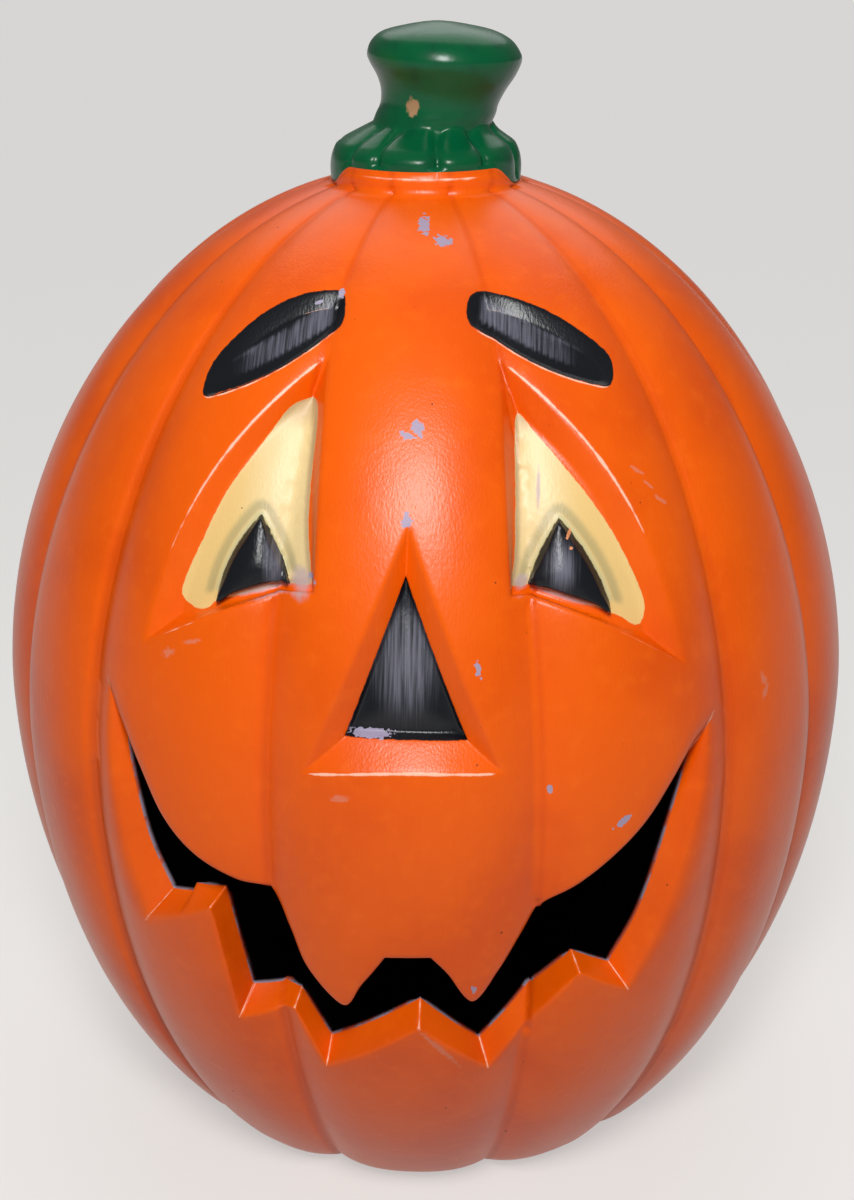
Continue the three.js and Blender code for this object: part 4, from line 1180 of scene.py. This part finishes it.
def slotted_screw(centre, face, length, slot_turn):
    """A pan-head screw with a straight slot: a turned body, and its head's two halves beside the slot."""
    floor = face + HEAD_HEIGHT - SLOT_DEPTH
    end = face - length
    skin = turned([(0, end), (SHANK_RADIUS, end), (SHANK_RADIUS, face), (HEAD_RADIUS, face),
                   (HEAD_RADIUS, floor), (0, floor)], centre, count=40)
    for way in (0, math.pi):
        rings = []
        for radius, down in HEAD_ROUNDING:
            start = math.asin(SLOT_WIDTH / 2 / radius)
            angles = np.linspace(start, math.pi - start, 20) + way + slot_turn
            rings.append(lamp_ring(skin, centre, radius, face + HEAD_HEIGHT - down, angles))
        skin.tube(rings)
    return skin


def coil(steps=12, sides=6):
    """The filament: a fine wire wound along a sagging line between the lead wires."""
    s = np.linspace(0, 1, COIL_TURNS * steps + 1)
    line = np.stack([FILAMENT_END * (2 * s - 1), LAMP_SEAT + WIRE_END - FILAMENT_SAG * 4 * s * (1 - s),
                     LAMP_HEIGHT + 0 * s], -1)
    turn = 2 * math.pi * COIL_TURNS * s
    line[:, 1] += COIL_RADIUS * np.cos(turn)
    line[:, 2] += COIL_RADIUS * np.sin(turn)
    along = unit(np.gradient(line, axis=0))
    first = unit(np.cross(along, (1.0, 0, 0)))
    second = np.cross(along, first)
    skin = Skin()
    angles = np.linspace(0, 2 * math.pi, sides + 1)[:-1, None]
    skin.tube([skin.add(point + COIL_WIRE * (np.cos(angles) * one + np.sin(angles) * two))
               for point, one, two in zip(line, first, second)])
    return skin


def globe():
    """The bulb's glass: a round globe, a flare and a straight neck, open at the neck."""
    angles = np.radians(np.linspace(-90, GLOBE_END, 28))
    outer = [(GLOBE_RADIUS * math.cos(a), GLOBE_TIP + GLOBE_RADIUS * (1 + math.sin(a))) for a in angles]
    start, t = np.array(outer[-1]), np.linspace(0, 1, 15)[1:, None]
    away, pull, end = np.array(FLARE)
    outer += list(start * (1 - t) ** 3 + 3 * (start + away) * t * (1 - t) ** 2 + 3 * pull * t ** 2 * (1 - t)
                  + end * t ** 3)
    outer = np.array([*outer, *NECK], float)
    outer[0, 0] = 0
    radius, along = unit(np.gradient(outer, axis=0)).T
    inner = outer + GLASS_WALL * np.stack([-along, radius], -1)
    inner[0] = (0, GLOBE_TIP + GLASS_WALL)
    return turned([tuple(p) for p in [*outer, *inner[::-1]]])


finishes = {slot: finish(*row) for slot, row in FINISHES.items()}
for row in frame["record"]["subparts"]:
    if row["material_slot"] in finishes:
        solid = frame["nodes"][row["node"]].data
        solid.materials.clear()
        solid.materials.append(finishes[row["material_slot"]])
        crisp(solid)
for name, width in (("lampholder", 0.5), ("wiring_cap", 0.6), ("insulator", 0.3), ("inlet_bushing", 0.5),
                    ("centre_contact", 0.12), ("spring_clip_upper", 0.2), ("spring_clip_lower", 0.2)):
    rounded_edges(frame["nodes"][name], width)

# Bulb: base with its rolled thread, glass, mount and filament
base_line = [(12.7, -45.5), (13, -45.1), (13, -41.4), (12.55, -40.6), *threaded(12.55, -40.3, -28.2),
             (12.1, -27.7), (11.6, -27.1), (9.5, -25.33), (9.5, -25.75), (11.3, -27.4), (11.7, -27.9),
             *threaded(12.15, -40.3, -28.2)[::-1], (12.6, -41.2), (12.6, -45.3)]
lamp_piece(turned(base_line, wave=thread(-40.5, -27.8), count=96), "threaded_bulb_base", "bulb_base", "bulb",
           "bulb_screw_base")
lamp_piece(globe(), "bulb_globe", "frosted_glass", "bulb", "bulb_glass")
mount = [(0, -61.8), (2.6, -61.7), (3.3, -61.0), (3.5, -59.5), (3.6, -48), (4.2, -42.5), (5.6, -39), (8, -37),
         (10.1, -36), (10.2, -35.2), (10.0, -34.4), (8, -34.5), (5, -36.5), (3, -40), (0, -41.5)]
lamp_piece(turned(mount, count=48), "pressed_glass_mount", "clear_glass", "bulb", "bulb_mount")
lamp_piece(coil(), "coiled_filament", "tungsten", "bulb", "filament")

# Screw shell of the lampholder, and the screws and rivets that show in the back
shell_line = [(13.4, -44.2), (13.4, -41.8), (12.97, -40.6), *threaded(12.97, -40.3, -16.2), (13.4, -15),
              (13.4, -13.2), (7, -13.2), (7, -12.7), (13.9, -12.7), (13.9, -15.2),
              *threaded(13.42, -40.3, -16.2)[::-1], (13.42, -40.6), (13.9, -42), (13.9, -44.2)]
lamp_piece(turned(shell_line, wave=thread(-40.5, -15.8), count=96), "threaded_screw_shell", "brass_sheet",
           "lamp_unit", "screw_shell")
for name, way, slot_turn in (("left", -1, 0.5), ("right", 1, 1.9)):
    lamp_piece(slotted_screw((25.0 * way, 0), 5.9, 7.4, slot_turn), f"slotted_cap_screw_{name}", "zinc_steel",
               "lamp_unit", f"cap_screw_{name}", 0.12)
    lamp_piece(slotted_screw((9.0 * way, 0), -8.1, 3.0, slot_turn + 0.8), f"slotted_terminal_screw_{name}",
               "brass_sheet", "lamp_unit", f"terminal_screw_{name}", 0.12)
dome = [(0, -2.1), (2.0, -2.1), (2.5, -1.8), (2.6, -1.5), (2.6, -1.1), (1.5, -1.1), (1.5, 3.1), (3.2, 3.1),
        (3.2, 3.35), (3.05, 3.85), (2.6, 4.25), (1.9, 4.5), (1.0, 4.6), (0, 4.6)]
for name, way in (("upper", 1), ("lower", -1)):
    lamp_piece(turned(dome, (0, 24.3 * way), count=40), f"domed_rivet_{name}", "zinc_steel", "lamp_unit",
               f"clip_rivet_{name}")

# Shell: both sides, and the edges of its openings between them
shell = Skin()
outer_rings = shell_side(shell, False)
outer_faces = len(shell.faces)
inner_rings = shell_side(shell, True)
shell.faces[outer_faces:] = [face[::-1] for face in shell.faces[outer_faces:]]
for outer_ring, inner_ring in zip(outer_rings, inner_rings):
    shell.strip(outer_ring, inner_ring, EDGE)
piece("shell", shell, [orange_paint(), green_paint(), bare_plastic(), finishes["inside"]],
      "pumpkin", "pumpkin_shell", face_marks)

# How far the paper is lifted towards white
PAPER_LIFT = 0.5


def pale_paper():
    """Matt background paper. What the camera and mirrors see of it is lifted, and it keeps the shadow."""
    made, tree, shader = material("pale_background_paper", "#A9A7A4", 0.9)
    path = node(tree, "LightPath").node.outputs
    kinds = ("Camera", "Glossy", "Transmission")
    seen = combined(tree, "MAXIMUM", *(path[f"Is {kind} Ray"] for kind in kinds))
    shader.inputs["Emission Color"].default_value = colour("#FFFEFC")
    tree.links.new(combined(tree, "MULTIPLY", seen, PAPER_LIFT), shader.inputs["Emission Strength"])
    return made


# Floor, which reaches far enough to fill the picture
FLOOR_REACH = 20
floor_mesh = bpy.data.meshes.new("floor")
corners = [(x * FLOOR_REACH, y * FLOOR_REACH, 0) for x, y in ((-1, -1), (1, -1), (1, 1), (-1, 1))]
floor_mesh.from_pydata(corners, [], [(0, 1, 2, 3)])
floor_mesh.materials.append(pale_paper())
added("floor", floor_mesh)

# A weak white light from all round
world = bpy.data.worlds.new("studio")
bpy.context.scene.world = world
world.use_nodes = True
background = world.node_tree.nodes["Background"]
background.inputs["Color"].default_value = colour("#FFFFFF")
background.inputs["Strength"].default_value = 0.17

# Soft key light in front, a little above the camera
KEY_PLACE, KEY_TARGET = (0.03, -1.02, 1.2), (0, 0, 0.34)
key_light = bpy.data.lights.new("key", "AREA")
key_light.shape, key_light.energy = "RECTANGLE", 14.0
key_light.size, key_light.size_y = 0.26, 0.42
key = added("key", key_light)
key.location = KEY_PLACE
key.rotation_euler = (Vector(KEY_TARGET) - key.location).to_track_quat("-Z", "Y").to_euler()

# A wide soft light from behind, even over the whole floor
back_light = bpy.data.lights.new("back", "SUN")
back_light.energy, back_light.angle = 0.9, math.radians(60)
added("back", back_light).rotation_euler = (math.radians(-42), 0, 0)

# Camera, at the photograph's angle
camera_data = bpy.data.cameras.new("camera")
camera_data.sensor_width, camera_data.lens, camera_data.shift_x = 36, CAMERA_LENS, CAMERA_SHIFT
camera = added("camera", camera_data)
camera.location = CAMERA_PLACE
camera.rotation_euler = [math.radians(a) for a in CAMERA_TURN]
bpy.context.scene.camera = camera

bpy.context.scene.view_settings.view_transform = "Standard"
